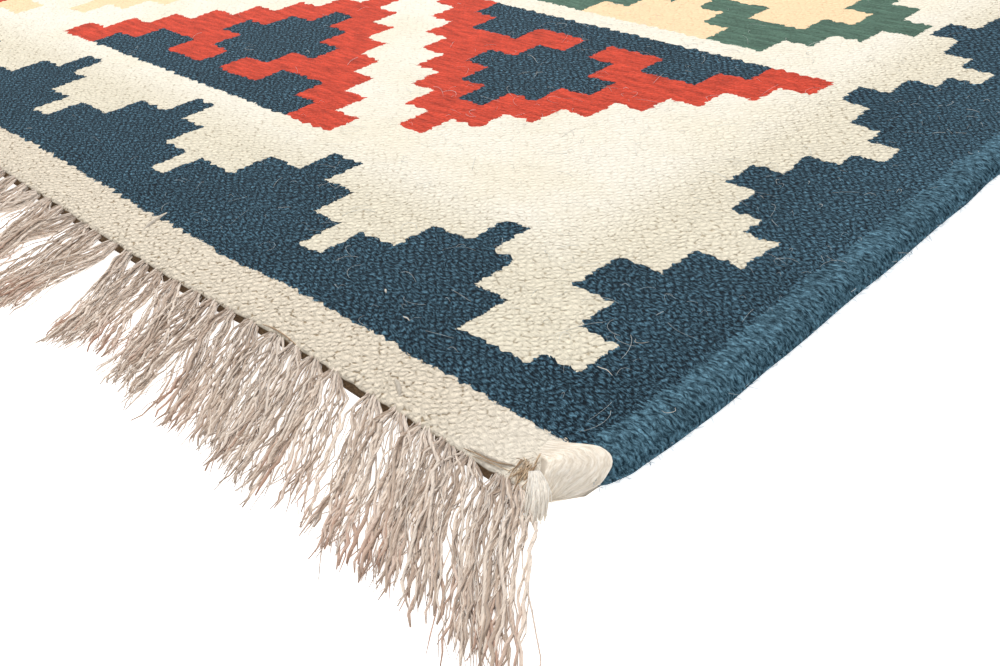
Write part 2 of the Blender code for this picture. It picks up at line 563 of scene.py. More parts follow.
# ---- the charted pattern ---------------------------------------------------------------------
@dataclass(frozen=True)
class Chart:
    """The pattern as a weaver's chart, in millimetres.

    s is the distance in from the nearer selvedge, t the distance in from the nearer end band.
    """

    half_width: float = 455.0
    half_length: float = 571.5
    end_reach: float = 455.0
    # end border: from each place in s on, navy reaches in t to the next depth, over and over;
    # before the first place it reaches to end_margin
    end_margin: float = 17.7
    end_depths: tuple = (36.8, 55.0, 71.4, 55.0, 36.8, 19.5)
    end_places: tuple = (
        78.2, 91.4, 102.2, 113.6, 129.6, 144.4, 156.3, 170.0, 185.0, 202.6, 220.0, 240.5, 250.0,
        265.2, 280.7, 291.9, 311.0, 329.0, 340.0, 354.0, 365.5, 377.0, 391.0, 408.0, 418.0,
        433.0, 447.0,
    )
    # from wider_from on, the steps of the end border grow wider by this share
    wider_from: float = 270.0
    wider_share: float = 0.062
    # selvedge border beside the corner: from t on, navy reaches to s
    corner_border: tuple = (
        (0.0, 50.9), (23.0, 37.4), (38.8, 52.8), (54.4, 68.8), (75.0, 52.8), (91.7, 35.0),
    )
    tooth_at: float = 64.5
    tooth_pitch: float = 78.0
    # selvedge border along the rug: within this distance of a tooth's centre, navy reaches to s
    tooth: tuple = ((0.0, 73.0), (7.7, 60.5), (23.5, 48.0), (33.0, 34.5))
    # from grow_from on, the teeth reach further in by growth times the way, up to grow_reach
    grow_from: float = 140.0
    grow_reach: float = 150.0
    growth: float = 0.09
    column: float = 14.0
    row: float = 15.444
    motif_at: float = 195.6
    motif_between: float = 325.3
    tip_at: float = 102.8
    apex_at: float = 206.0
    band_pitch: float = 276.6
    band_split: float = 233.0
    lozenge_at: float = 292.65
    # from swap_at on, the two grounds of the lozenges change places
    swap_at: float = 430.0
    motif_rows: float = 8.0
    # the hook beside the triangle's inner figure and the ring of the lozenge: row, column
    hook: tuple = (6.0, 3.5)
    ring: tuple = (1.0, 3.5)
    hook_reach: float = 0.75
    # by row from the tip: how many columns out the inner colour reaches, plus one
    inner_reach: tuple = (0, 0, 1, 2, 3, 2, 1, 6)
    # by row from the middle: how many columns out the lozenge's inner colour reaches, plus one
    lozenge_reach: tuple = (6, 1, 2, 3)

    def paint(self, bench: Bench, x: Wire, y: Wire, ivory: Wire) -> tuple[Wire, Wire]:
        """Colour at a place of the chart.

        Args:
            bench: the material's bench.
            x: place across from the rug's middle.
            y: place along from the rug's middle.
            ivory: colour of the ground.

        Returns:
            The colour, and a mask of the dark blue wool.
        """
        s = self.half_width - abs(x)
        t = self.half_length - abs(y)
        band = t < 0.0
        border = self.border(bench, s, t)
        near_columns = self.columns(abs(s - self.motif_at).least(abs(s - self.end_reach)))
        pointed, inner, blue_inside, first = self.triangles(bench, x, s, t, near_columns)
        lozenge, core, second = self.lozenges(bench, s, t, near_columns)

        colour = bench.mix(pointed, ivory, first)
        colour = bench.mix(inner, colour, bench.mix(blue_inside, Wool.RED.value, Wool.NAVY.value))
        colour = bench.mix(lozenge, colour, second)
        colour = bench.mix(core, colour, Wool.YELLOW.value)
        colour = bench.mix(border, colour, Wool.NAVY.value)
        colour = bench.mix(band, colour, Wool.BAND.value)
        navy = border.most(inner * blue_inside) * (1.0 - band)
        return colour, navy

    def columns(self, distance: Wire) -> Wire:
        """Number of chart columns out from a motif's middle column."""
        return (distance / self.column + 0.5).floor()

    def beside(self, row: Wire, column: Wire, place: tuple[float, float]) -> Wire:
        """Mask of a hook: one row high, round a place between two columns."""
        return (abs(row - place[0]) < 0.5).least(abs(column - place[1]) < self.hook_reach)

    def border(self, bench: Bench, s: Wire, t: Wire) -> Wire:
        """Saw-edged border round the field.

        Args:
            bench: the material's bench.
            s: distance in from the nearer selvedge.
            t: distance in from the nearer end band.

        Returns:
            Mask of its navy wool.
        """
        place = s - (s - self.wider_from).most(0.0) * self.wider_share
        end_rows = ((0.0, self.end_margin), *zip(self.end_places, cycle(self.end_depths)))
        end_depth = bench.steps(place, self.end_reach, end_rows, max(self.end_depths))
        from_tooth = bench.math("PINGPONG", t - self.tooth_at, self.tooth_pitch / 2.0)
        deepest = self.tooth[0][1]
        along = bench.steps(from_tooth, self.tooth_pitch / 2.0, self.tooth, deepest)
        first_notch = self.tooth_at + self.tooth_pitch / 2.0
        corner = bench.steps(t, first_notch, self.corner_border, deepest)
        side_depth = bench.choose(t < first_notch, along, corner)
        wider = (t - self.grow_from).most(0.0).least(self.grow_reach) * self.growth
        return (t < end_depth).most(s < side_depth + wider)

    def triangles(self, bench: Bench, x: Wire, s: Wire, t: Wire,
                  near_columns: Wire) -> tuple[Wire, Wire, Wire, Wire]:
        """Stepped triangles that point to the near and far ends by turns.

        Args:
            bench: the material's bench.
            x: place across from the rug's middle.
            s: distance in from the nearer selvedge.
            t: distance in from the nearer end band.
            near_columns: columns out from the middle of the nearer motif.

        Returns:
            Mask of the triangles, mask of their inner figure, mask of those whose inner figure
            is dark blue, and the outline's colour.
        """
        later = t > self.band_split
        shift = later * self.band_pitch
        rows_in = ((t - shift - self.tip_at) / self.row).floor()
        rows_out = ((self.apex_at + shift - t) / self.row).floor()
        far_columns = self.columns(abs(s - self.motif_between))
        last = self.motif_rows - 0.5
        turned = (far_columns < rows_out + 0.5).least(rows_out < last)
        row = bench.choose(turned, rows_in, rows_out)
        column = bench.choose(turned, near_columns, far_columns)
        pointed = (column < row + 0.5).least(row < last)
        reach = bench.steps(row + 0.5, self.motif_rows, tuple(enumerate(self.inner_reach)),
                            self.motif_rows)
        hook = self.beside(row, column, self.hook)
        inner = pointed.least((column + 0.5 < reach).most(hook))
        middle = s > (self.motif_at + self.end_reach) / 2.0
        pale = bench.choose(turned, middle, x < 0.0)
        pale = abs(pale - later)
        outline = bench.mix(pale, Wool.RED.value, Wool.YELLOW.value)
        return pointed, inner, 1.0 - pale, outline

    def lozenges(self, bench: Bench, s: Wire, t: Wire,
                 near_columns: Wire) -> tuple[Wire, Wire, Wire]:
        """Stepped lozenges between the bands of triangles.

        Args:
            bench: the material's bench.
            s: distance in from the nearer selvedge.
            t: distance in from the nearer end band.
            near_columns: columns out from the middle of the nearer motif.

        Returns:
            Mask of the lozenges, mask of their yellow figure, and their ground colour.
        """
        centre = self.half_length - t
        from_middle = abs(t - self.lozenge_at).least(centre)
        row = (from_middle / self.row + 0.5).floor()
        half = self.motif_rows / 2.0
        whole = (near_columns + row < self.motif_rows - 0.5).least(row < half - 0.5)
        reach = bench.steps(row + 0.5, half, tuple(enumerate(self.lozenge_reach)),
                            self.motif_rows)
        ring = self.beside(row, near_columns, self.ring)
        core = whole.least((near_columns + 0.5 < reach).most(ring))
        middle = s > (self.motif_at + self.end_reach) / 2.0
        swapped = abs(middle - (t > self.swap_at))
        ground = bench.mix(swapped, Wool.GREEN.value, Wool.RED.value)
        return whole, core, ground


# ---- finishes --------------------------------------------------------------------------------
@dataclass(frozen=True)
class WovenWool:
    """Weft-faced plain weave: plump grains laid like bricks, no two quite alike.

    A brick pattern is a square lattice that is turned by an eighth of a turn and stretched. The
    grains are the cells of a Voronoi pattern on that lattice, each moved a little at random.
    """

    chart: Chart = Chart()
    # width and height of the teeth and of the grains, in millimetres
    tooth_width: float = 2.0 * WARP
    tooth_height: float = 4.3
    width: float = 1.1 * WARP
    height: float = 3.3
    jumble: float = 0.5
    depth: float = 0.00030
    # what the pits' painted shade multiplies pale wool's colour by
    pit_shade_tint: tuple = (0.42, 0.33, 0.22)
    # how far the threads wander, slowly and quickly, in millimetres across and along
    slow: tuple = (6.0, 5.0)
    quick: tuple = (2.6, 2.4)
    # share of the way that a colour's edge snaps to its tooth, across and along
    snap: tuple = (0.26, 0.55)
    fray: float = 2.4
    # ramps over the distance from the rug's middle, in metres
    calm_side: tuple = (0.395, 0.432)
    firm_side: tuple = (0.345, 0.385)
    firm_end: tuple = (0.48, 0.52)
    worn_side: tuple = (0.385, 0.44)
    worn_end: tuple = (0.555, 0.44)
    # painted shade on the end wall beneath the band's edge, as the wall's v goes past the end
    end_wall_shade: tuple = (0.5904, 0.5914)
    # strength of each kind of shade: in pale wool, in navy wool; the lump shade is painted
    # shade, lighter on a grain's crown and darker towards its rim, the others the wool's own tone
    fibre_shade: tuple = (0.12, 1.0)
    grain_shade: tuple = (0.05, 0.14)
    cloud_shade: tuple = (0.06, 0.5)
    lump_shade: tuple = (0.04, 0.10)

    def lattice(self, bench: Bench, x: Wire, y: Wire, width: float, height: float) -> dict:
        """Sockets of a Voronoi node on the turned and stretched lattice of bricks."""
        a, b = x / width, y / height
        return {"Vector": bench.vector(a + b, a - b), "Scale": 1.0, "Randomness": self.jumble}

    def teeth(self, bench: Bench, x: Wire, y: Wire) -> tuple[Wire, Wire]:
        """Find the pair of warps whose weft turns back at a place.

        Args:
            bench: the material's bench.
            x: place across in millimetres.
            y: place along in millimetres.

        Returns:
            The pair's middle, across and along.
        """
        sockets = self.lattice(bench, x, y, self.tooth_width, self.tooth_height)
        p, q, _ = bench.parts(bench.add("TexVoronoi", {"voronoi_dimensions": "2D"}, sockets,
                                        "Position"))
        return (p + q) * (self.tooth_width / 2.0), (p - q) * (self.tooth_height / 2.0)

    def grains(self, bench: Bench, x: Wire, y: Wire) -> tuple[Wire, Wire]:
        """Find the grain of the weave that covers a place.

        Args:
            bench: the material's bench.
            x: place across in millimetres.
            y: place along in millimetres.

        Returns:
            Distance to the grain's rim, and the grain's random value.
        """
        flat = {"voronoi_dimensions": "2D"}
        sockets = self.lattice(bench, x, y, self.width, self.height)
        rim = bench.add("TexVoronoi", flat | {"feature": "DISTANCE_TO_EDGE"}, sockets,
                        "Distance")
        own, _, _ = bench.parts(bench.add("TexVoronoi", flat, sockets, "Color"))
        return rim, own

    def build(self) -> bpy.types.Material:
        """Build the cloth's material.

        The chart is read at the wandering place moved part of the way to the middle of its
        tooth, which gives the colours their saw-toothed edges. Fibre, grains and clouds shade the
        colour with the wool's own tone; the lumps add painted shade, darker towards each grain's
        rim. Painted shade darkens some pits between the grains and the end wall beneath the band.

        Returns:
            The material.
        """
        bench = Bench("woven_wool_pattern")
        place = bench.weave_place()
        u, v, _ = bench.parts(place)
        slow_x, slow_y, _ = bench.parts(bench.noise(place, 48.0, 2.0, "Color"))
        quick_x, quick_y, _ = bench.parts(bench.noise(place, 210.0, 3.0, "Color", 0.6))
        x = u * 1000.0 + (slow_x - 0.5) * self.slow[0] + (quick_x - 0.5) * self.quick[0]
        y = v * 1000.0 + (slow_y - 0.5) * self.slow[1] + (quick_y - 0.5) * self.quick[1]
        rim, own = self.grains(bench, x, y)
        middle_x, middle_y = self.teeth(bench, x, y)
        fibre = bench.noise(bench.vector(x * 0.62, (y + x * 0.2) * 1.7), 1.0, 4.0, rough=0.66)
        frayed = (fibre - 0.5) * self.fray
        at_x = u * 1000.0 + (middle_x - x) * self.snap[0] + (quick_y - 0.5) * 2.6 + frayed
        at_y = v * 1000.0 + (middle_y - y) * self.snap[1] + (quick_x - 0.5) * 1.6 + frayed * 0.7

        cloudy = bench.noise(place, 26.0, 3.0)
        band = abs(v) > self.chart.half_length * MM
        calm = bench.between(abs(u), *self.calm_side) * band
        firm = bench.between(abs(u), *self.firm_side).most(bench.between(abs(v), *self.firm_end))
        warm = (bench.between(cloudy, 0.35, 0.7) * 0.5 + 0.2).most(firm * 0.9)
        ivory = bench.mix(warm, Wool.IVORY.value, Wool.IVORY_WARM.value)
        colour, navy = self.chart.paint(bench, at_x, at_y, ivory)
        colour = bench.mix(calm * 0.7, colour, Wool.BAND_PALE.value)
        firm = firm * 0.6 + band * 0.4

        patchy = bench.noise(bench.vector(u * 400.0, v * 560.0), 1.0, 2.0)
        # painted shade in some of the pits between the grains; the same mask sinks the bump
        pit = bench.between(rim, 0.20, 0.02) * bench.between(patchy, 0.52, 0.65)
        pit = pit * (1.0 - calm * 0.8) * bench.choose(navy, 0.26 + firm * 0.58, 0.45)
        lump = bench.between(rim, 0.0, 0.45)
        pale, dark = self.fibre_shade
        shade = (fibre * 2.0) ** bench.choose(navy, pale + firm * 0.34, dark)
        _, _, bluish = bench.parts(bench.scaled(colour, 1.0))
        dyed = bench.between(bluish, 0.35, 0.12) * (1.0 - navy)
        streaks = bench.noise(bench.vector(u * 90.0, v * 420.0), 1.0, 3.0)
        shade = shade + dyed * ((streaks - 0.5) * 1.5 + (fibre - 0.5) * 1.1 + 0.03)
        shade = shade + (own - 0.5) * bench.choose(navy, *self.grain_shade)
        shade = shade + (cloudy - 0.5) * bench.choose(navy, *self.cloud_shade)
        # painted shade of the grains' relief: lighter on their crowns, darker towards their rims
        pale, dark = self.lump_shade
        shade = shade + (lump - 0.7) * bench.choose(navy, pale + firm * 0.12, dark)
        worn = bench.between(abs(u), *self.worn_side) * bench.between(abs(v), *self.worn_end)
        # the navy's pale fuzz is the fibre's own colour, and through lump partly painted light on
        # the grains' crowns
        fuzz = bench.between(fibre + (lump - 0.7) * 0.12 + worn * 0.03, 0.35, 0.73)
        colour = bench.scaled(
            bench.mix(navy, colour, bench.mix(fuzz, colour, Wool.NAVY_FUZZ.value)), shade)
        # painted shade in the pits: brownish in pale wool, deep blue in navy
        pit_shaded = bench.add("VectorMath", {"operation": "MULTIPLY"},
                            {0: colour, 1: self.pit_shade_tint})
        colour = bench.mix(pit, colour, bench.mix(navy, pit_shaded, Wool.NAVY_PIT_SHADE.value))
        # painted shade on the end wall, beneath the band's edge
        end_wall_shade = bench.between(abs(v), *self.end_wall_shade)
        shaded = bench.scaled(Wool.SHADED_WARP.value[:3], fibre * 1.6)
        colour = bench.mix(end_wall_shade, colour, shaded)
        height = ((lump + own * 0.25) * (1.0 - calm * 0.7)
                  * bench.choose(navy, 0.7 + firm * 0.6, 0.55) - pit * 0.9
                  + (fibre - 0.5) * bench.choose(navy, 0.6 + firm * 1.0, 2.6))
        return bench.finish(colour, height, self.depth, 0.82 + (fibre - 0.5) * 0.2, 0.0)


@dataclass(frozen=True)
class WrappedWool:
    """Wool wound side by side: fibres run along u, strands lie side by side along v."""

    name: str
    light: tuple
    dark: tuple
    groove: float
    streak: float
    pitch: float = 0.0021
    waver: float = 0.0030
    fibres: tuple = (0.34, 0.74)
    depth: float = 0.00034

    def build(self) -> bpy.types.Material:
        """Build the material of a wrapped edge.

        A strand's number is the whole part of v / pitch. Its crown is 1 - 4w^2, where w is the
        place across it from its middle, from -1/2 to 1/2. Towards a strand's sides the colour
        darkens by groove, painted shade in the grooves between strands.

        Returns:
            The material.
        """
        bench = Bench(self.name)
        place = bench.weave_place()
        u, v, _ = bench.parts(place)
        waver = bench.noise(place, 170.0, 3.0, rough=0.6) - 0.5
        across = v + waver * self.waver
        strand = across / self.pitch
        own = bench.random(bench.vector(strand.floor(), 0.0))
        within = strand - strand.floor() - 0.5
        crown = 1.0 - within * within * 4.0
        fibre = bench.noise(bench.vector(u * 300.0, across * 1150.0), 1.0, 5.0, rough=0.68)
        cloudy = bench.noise(place, 60.0, 3.0)
        colour = bench.mix(bench.between(fibre, *self.fibres), self.dark, self.light)
        # painted shade in the grooves between the strands
        shade = (fibre * 2.0) ** self.streak * (1.0 - (1.0 - crown) * self.groove)
        shade = shade + (cloudy - 0.5 + (own - 0.5) * 0.3) * self.streak * 0.8
        height = crown * self.groove * 2.5 + fibre * (0.4 + self.streak * 2.6)
        return bench.finish(bench.scaled(colour, shade), height, self.depth, 0.86, 0.0)


@dataclass(frozen=True)
class PlyYarn:
    """Two-ply yarn: a groove winds round each strand, and some tips are browner."""

    name: str
    light: tuple
    dark: tuple
    tip: tuple
    groove: float = 0.22
    twist: float = 0.0040
    # where along a strand the tip's colour comes in, and which strands have it
    tip_reach: tuple = (0.50, 0.95)
    tipped: tuple = (0.42, 0.9)
    # painted shade near a strand's root where it leaves the cloth: over this share, this much
    # darker
    root_reach: float = 0.10
    root_shade: float = 0.22
    depth: float = 0.00012

    def build(self) -> bpy.types.Material:
        """Build the material of loose yarn.

        The groove lies where 2u + v / twist is near a whole number, so it winds round. The colour
        darkens in the groove and near the root, as painted shade.

        Returns:
            The material.
        """
        bench = Bench(self.name)
        u, v, _ = bench.parts(bench.weave_place())
        own, share, second = bench.strand_tint()
        lean = u * 2.0 + v / self.twist + bench.noise(bench.vector(v * 160.0, own * 9.0), 1.0)
        within = lean - lean.floor() - 0.5
        groove = bench.between(abs(within), 0.26, 0.5) * (1.0 - share * 0.6)
        fibre = bench.noise(bench.vector(u * 5.0 + v * 900.0, v * 300.0, own * 40.0), 1.0, 2.0,
                            rough=0.65)
        colour = bench.mix(bench.between(fibre + (own - 0.5) * 0.7, 0.25, 0.75),
                           self.dark, self.light)
        rusty = bench.between(share, *self.tip_reach) * bench.between(second, *self.tipped)
        root = bench.between(share, self.root_reach, 0.0)
        colour = bench.mix(rusty * 0.8, colour, self.tip)
        # painted shade in the ply's groove, and below near the root
        shade = (1.0 - groove * self.groove) * (1.0 + (fibre - 0.5) * 0.5 + (second - 0.5) * 0.16)
        shade = shade * (1.0 - root * self.root_shade)
        height = (1.0 - groove) + fibre * 0.5
        return bench.finish(bench.scaled(colour, shade), height, self.depth, 0.9, 0.35)


@dataclass(frozen=True)
class StrayHair:
    """Fine hair that takes its colour from its own tint."""

    name: str = "stray_wool_hair"
    bluish: tuple = tone(88, 124, 146)
    pale: tuple = tone(220, 224, 222)
    depth: float = 0.00005

    def build(self) -> bpy.types.Material:
        """Build the material of stray hair.

        Returns:
            The material.
        """
        bench = Bench(self.name)
        place = bench.weave_place()
        own, _, second = bench.strand_tint()
        fibre = bench.noise(place, 900.0, 2.0)
        colour = bench.mix(bench.between(second, 0.45, 0.55), self.bluish, self.pale)
        shade = 0.75 + own * 0.35 + (fibre - 0.5) * 0.3
        return bench.finish(bench.scaled(colour, shade), fibre, self.depth, 0.9, 0.2)


# ---- how the rug lies ------------------------------------------------------------------------
@dataclass(frozen=True)
class Woven:
    """Half the width and half the length of the woven cloth."""

    half_width: float = 0.455
    half_length: float = 0.590


@dataclass(frozen=True)
class Lie(Woven):
    """How far the laid rug strays from a true rectangle.

    Rows are (distance from the near right corner, shift) in millimetres.
    """

    side_fade: float = 0.055
    end_fade: float = 0.11
    right_edge: tuple = (
        (0.0, -5.9), (6.0, -5.6), (14.0, -3.0), (23.0, -1.2), (40.0, -0.5), (54.0, -0.3),
        (79.0, -1.4), (127.0, -3.3), (183.0, -5.5), (208.0, -7.3), (290.0, -7.6), (370.0, -8.4),
        (520.0, 0.0),
    )
    near_end: tuple = (
        (0.0, -1.2), (22.0, -1.2), (63.0, 0.0), (118.0, 2.3), (171.0, 1.0), (213.0, 2.2),
        (263.0, 4.5), (317.0, 6.5), (400.0, 6.0), (600.0, 1.5), (900.0, 0.0),
    )
    quiet_edge: float = 1.6
    ripple: float = 0.25

    def move(self, x: np.ndarray, y: np.ndarray) -> tuple[np.ndarray, np.ndarray, np.ndarray]:
        """Shift of the cloth at a place of the true rectangle.

        Each edge's shift fades out over a short way in. The lift is ripple times 1 + the
        product of two slow sines.

        Args:
            x: places across.
            y: places along.

        Returns:
            Shifts along X, Y and Z in metres.
        """
        from_end = (y + self.half_length) / MM
        from_side = (self.half_width - x) / MM
        right = eased(from_end, self.right_edge) * smooth(
            1.0 - (self.half_width - x) / self.side_fade)
        slow = np.sin(from_end / 118.0 + 0.6) + 0.5 * np.sin(from_end / 51.0)
        left = self.quiet_edge * slow * smooth(1.0 - (x + self.half_width) / self.side_fade)
        near = eased(from_side, self.near_end) * smooth(
            1.0 - (y + self.half_length) / self.end_fade)
        slow = np.sin(from_side / 131.0) + 0.4 * np.sin(from_side / 47.0 + 1.0)
        far = self.quiet_edge * slow * smooth(1.0 - (self.half_length - y) / self.end_fade)
        lift = self.ripple + self.ripple * np.sin(x * 17.0 + 1.1) * np.sin(y * 13.0 + 0.4)
        return (right + left) * MM, (near + far) * MM, lift * MM * 0.6

    def laid(self, points: np.ndarray) -> np.ndarray:
        """Move points across and along as the cloth at their place is moved.

        Args:
            points: points of the true rectangle, (..., 3); those past an end go with the end.

        Returns:
            The moved points.
        """
        inside = np.clip(np.abs(points[..., 1]), 0.0, self.half_length)
        dx, dy, _ = self.move(points[..., 0], np.copysign(inside, points[..., 1]))
        return points + np.stack([dx, dy, np.zeros_like(dx)], axis=-1)


LIE = Lie()


# ---- the cloth -------------------------------------------------------------------------------
@dataclass(frozen=True)
class Cloth(Woven):
    """The woven sheet between its two corded edges.

    The mesh has one column for each warp above, and one for each four warps below. The lower
    side reaches further out at the ends, by foot.
    """

    rib: float = 0.910 / 298.0
    ribs: int = 292
    rows: int = 90
    under: int = 73
    thick: float = 0.0030
    foot: float = 0.0010
    end_margin: float = 0.008
    rounding: float = 0.0025
    scallop: float = 0.00030
    scallop_reach: float = 0.004
    # how far the end wall's weave coordinates reach on past the end, at its upper and lower
    # rim, so that the cloth's material paints shade down the wall
    wall_upper: float = 0.0004
    wall_lower: float = 0.0050
    end_rows: tuple = (0.0, 0.0005, 0.0014, 0.0032)

    def stations(self) -> np.ndarray:
        """Place the mesh's rows, closer together at the rounded ends.

        Returns:
            Their places along Y.
        """
        ends = np.array(self.end_rows)
        far = self.half_length - self.end_margin
        inner = np.linspace(-far, far, self.rows)
        return np.concatenate([-self.half_length + ends, inner, self.half_length - ends[::-1]])

    def top(self, y: np.ndarray) -> np.ndarray:
        """Height of the upper face: thick * (0.8 + 0.2 * sqrt(way in / rounding)) near an end."""
        end = self.half_length - np.abs(y)
        return self.thick * (0.80 + 0.20 * np.sqrt(np.clip(end / self.rounding, 0.0, 1.0)))

    def build(self, material: bpy.types.Material) -> bpy.types.Object:
        """Make the sheet: an upper grid, a coarser lower grid, and walls between.

        A point above is (x, y, top(y)) moved by the rug's lie. Near an end it also goes out or
        in by scallop * cos(pi * x / rib), with a phase that wanders.

        Args:
            material: its finish.

        Returns:
            The piece that stands for the CAD node of the cloth.
        """
        y = self.stations()
        x = (np.arange(self.ribs + 1) - self.ribs / 2.0) * self.rib
        gx, gy = np.meshgrid(x, y)
        scallop = self.scallop * np.cos(2.0 * np.pi * gx / self.rib / 2.0
                                        + 3.0 * np.sin(gx * 90.0))
        at_end = smooth(1.0 - (self.half_length - np.abs(gy)) / self.scallop_reach)
        dx, dy, dz = LIE.move(gx, gy)
        top = np.stack([gx + dx, gy + dy + np.sign(gy) * at_end * scallop,
                        self.top(gy) + dz], axis=-1)
        each = (len(x) - 1) // self.under
        low_x = x[::each]
        low_y = y + np.sign(y) * self.foot * (np.abs(y) > self.half_length - self.foot)
        lx, ly = np.meshgrid(low_x, low_y)
        dx, dy, dz = LIE.move(lx, ly)
        low = np.stack([lx + dx, ly + dy, np.zeros_like(lx)], axis=-1)

        rows, cols, low_cols = len(y), len(x), len(low_x)
        first_low = rows * cols
        upper = np.arange(rows * cols).reshape(rows, cols)
        lower = first_low + np.arange(rows * low_cols).reshape(rows, low_cols)
        low_faces = grid_faces(rows, low_cols)[:, ::-1] + first_low
        left = np.stack([upper[:-1, 0], upper[1:, 0], lower[1:, 0], lower[:-1, 0]], axis=-1)
        right = np.stack([upper[1:, -1], upper[:-1, -1], lower[:-1, -1], lower[1:, -1]], axis=-1)
        spans = np.arange(self.under)[:, None] * each + np.arange(each + 1)[None, :]
        near = np.concatenate([upper[0][spans][:, ::-1], lower[0, :-1, None],
                               lower[0, 1:, None]], axis=1)
        far = np.concatenate([upper[-1][spans], lower[-1, 1:, None], lower[-1, :-1, None]],
                             axis=1)
        flat = np.concatenate([np.stack([gx, gy], axis=-1).reshape(-1, 2),
                               np.stack([lx, ly], axis=-1).reshape(-1, 2)])
        faces = [grid_faces(rows, cols), low_faces, left, right, near, far]
        points = np.concatenate([top.reshape(-1, 3), low.reshape(-1, 3)])
        uv = [flat[face] for face in faces]
        # the end walls' v reaches on past the end, where the cloth's material paints shade
        for wall in uv[-2:]:
            away = np.array([self.wall_upper] * (each + 1) + [self.wall_lower] * 2)
            wall[..., 1] += np.sign(wall[..., 1]) * away
        patch = Patch(points, faces, uv, np.zeros_like(points))
        piece = patch.make("kilim_weave", material, Slot.CLOTH)
        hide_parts("kilim_cloth")
        return piece


@dataclass(frozen=True)
class Selvedge(Woven):
    """A corded edge wound with the border's wool."""

    width: float = 0.0135
    thick: float = 0.0046
    girth: float = 0.040
    pitch: float = 0.00145
    skew: float = 0.0034
    bulge: float = 0.00012
    unevenness: float = 0.00016
    # the cord is thinner at its very end, and thinner and further in beneath the winding
    end_share: float = 0.62
    end_reach: float = 0.012
    tuck_at: float = 0.0195
    tuck_fade: float = 0.011
    tuck_reach: float = 0.0085
    tuck_loss: float = 0.42
    # round the cord: (share of the width from the outer side in, share of the thickness)
    outline: tuple = (
        (1.24, 0.60), (1.04, 0.69), (0.84, 0.80), (0.64, 0.92), (0.44, 0.99), (0.27, 0.97),
        (0.13, 0.82), (0.04, 0.60), (0.0, 0.36), (0.05, 0.12), (0.18, 0.01), (0.60, 0.0),
        (1.24, 0.05),
    )
    # how many of these points face up, and how many rings share one random bump
    upper_points: int = 9
    bump_rings: int = 3

    def tucked(self, from_end: np.ndarray) -> np.ndarray:
        """How far the cord is tucked in beneath the winding of the corner, from 0 to 1."""
        return smooth((self.tuck_at - from_end) / self.tuck_fade)

    def depth(self, from_end: np.ndarray) -> np.ndarray:
        """Thickness of the cord, thinner at the corner."""
        share = self.end_share + (1.0 - self.end_share) * smooth(from_end / self.end_reach)
        return self.thick * share * (1.0 - self.tuck_loss * self.tucked(from_end))

    def crest(self, from_side: np.ndarray, from_end: np.ndarray) -> np.ndarray:
        """Height of the cord's upper side.

        Args:
            from_side: distance in from the rug's side.
            from_end: distance in from the cloth's end.

        Returns:
            The height, 0 beside the cord.
        """
        shift = self.tuck_reach * self.tucked(from_end)
        share = (from_side - shift) / (self.width - shift)
        upper = np.array(self.outline[:self.upper_points])[::-1].T
        height = np.interp(share, upper[0], upper[1], left=0.0, right=0.0)
        return height * self.depth(from_end)

    def build(self, name: str, left: bool, material: bpy.types.Material) -> bpy.types.Object:
        """Make one corded edge: the oval outline carried along Y, bulging at every winding.

        Ring by ring the outline grows and shrinks by bulge * cos(pi * ring) and a smooth random
        bump, and a point of the outline trails along Y by skew * (1 - share)^1.3.

        Args:
            name: name of the piece.
            left: whether it is the left edge.
            material: its finish.

        Returns:
            The piece.
        """
        chance = np.random.default_rng(12 if left else 11)
        turns = int(2.0 * self.half_length / self.pitch)
        y = np.linspace(-self.half_length, self.half_length, 2 * turns + 1)
        share, height = np.array(self.outline).T
        count = len(share)
        rough = chance.normal(0.0, 1.0, (len(y) // self.bump_rings + 3, count))
        place = np.arange(len(y)) / self.bump_rings
        low = place.astype(int)
        rough = rough[low] + (rough[low + 1] - rough[low]) * smooth(place - low)[:, None]
        lump = (self.bulge * np.cos(np.pi * np.arange(len(y)))[:, None]
                + self.unevenness * rough * np.sin(np.pi * np.clip(height, 0.0, 1.0))[None, :])
        from_end = (self.half_length - np.abs(y))[:, None]
        shift = self.tuck_reach * self.tucked(from_end)
        across = share * self.width + shift * (1.0 - share)
        upper = (height > 0.1)[None, :]
        round_z = height[None, :] * self.depth(from_end) + lump * upper
        slant = self.skew * np.clip(1.0 - share, 0.0, 1.0) ** 1.3 * (height > 0.1)
        py = np.clip(y[:, None] - slant[None, :], -self.half_length, self.half_length)
        px = self.half_width - across + (share < 0.3)[None, :] * lump
        dx, dy, dz = LIE.move(np.where(left, -px, px), py)
        px = np.where(left, -px, px) + dx
        points = np.stack([px, py + dy, np.clip(round_z, 0.0, None) + dz * 0.5], axis=-1)
        arc = np.linspace(0.0, self.girth, count + 1)
        uv = np.stack(np.broadcast_arrays(arc[None, :], y[:, None]), axis=-1)
        patch = closed_skin(points, uv)
        return (patch.turned() if left else patch).make(name, material, Slot.CLOTH)


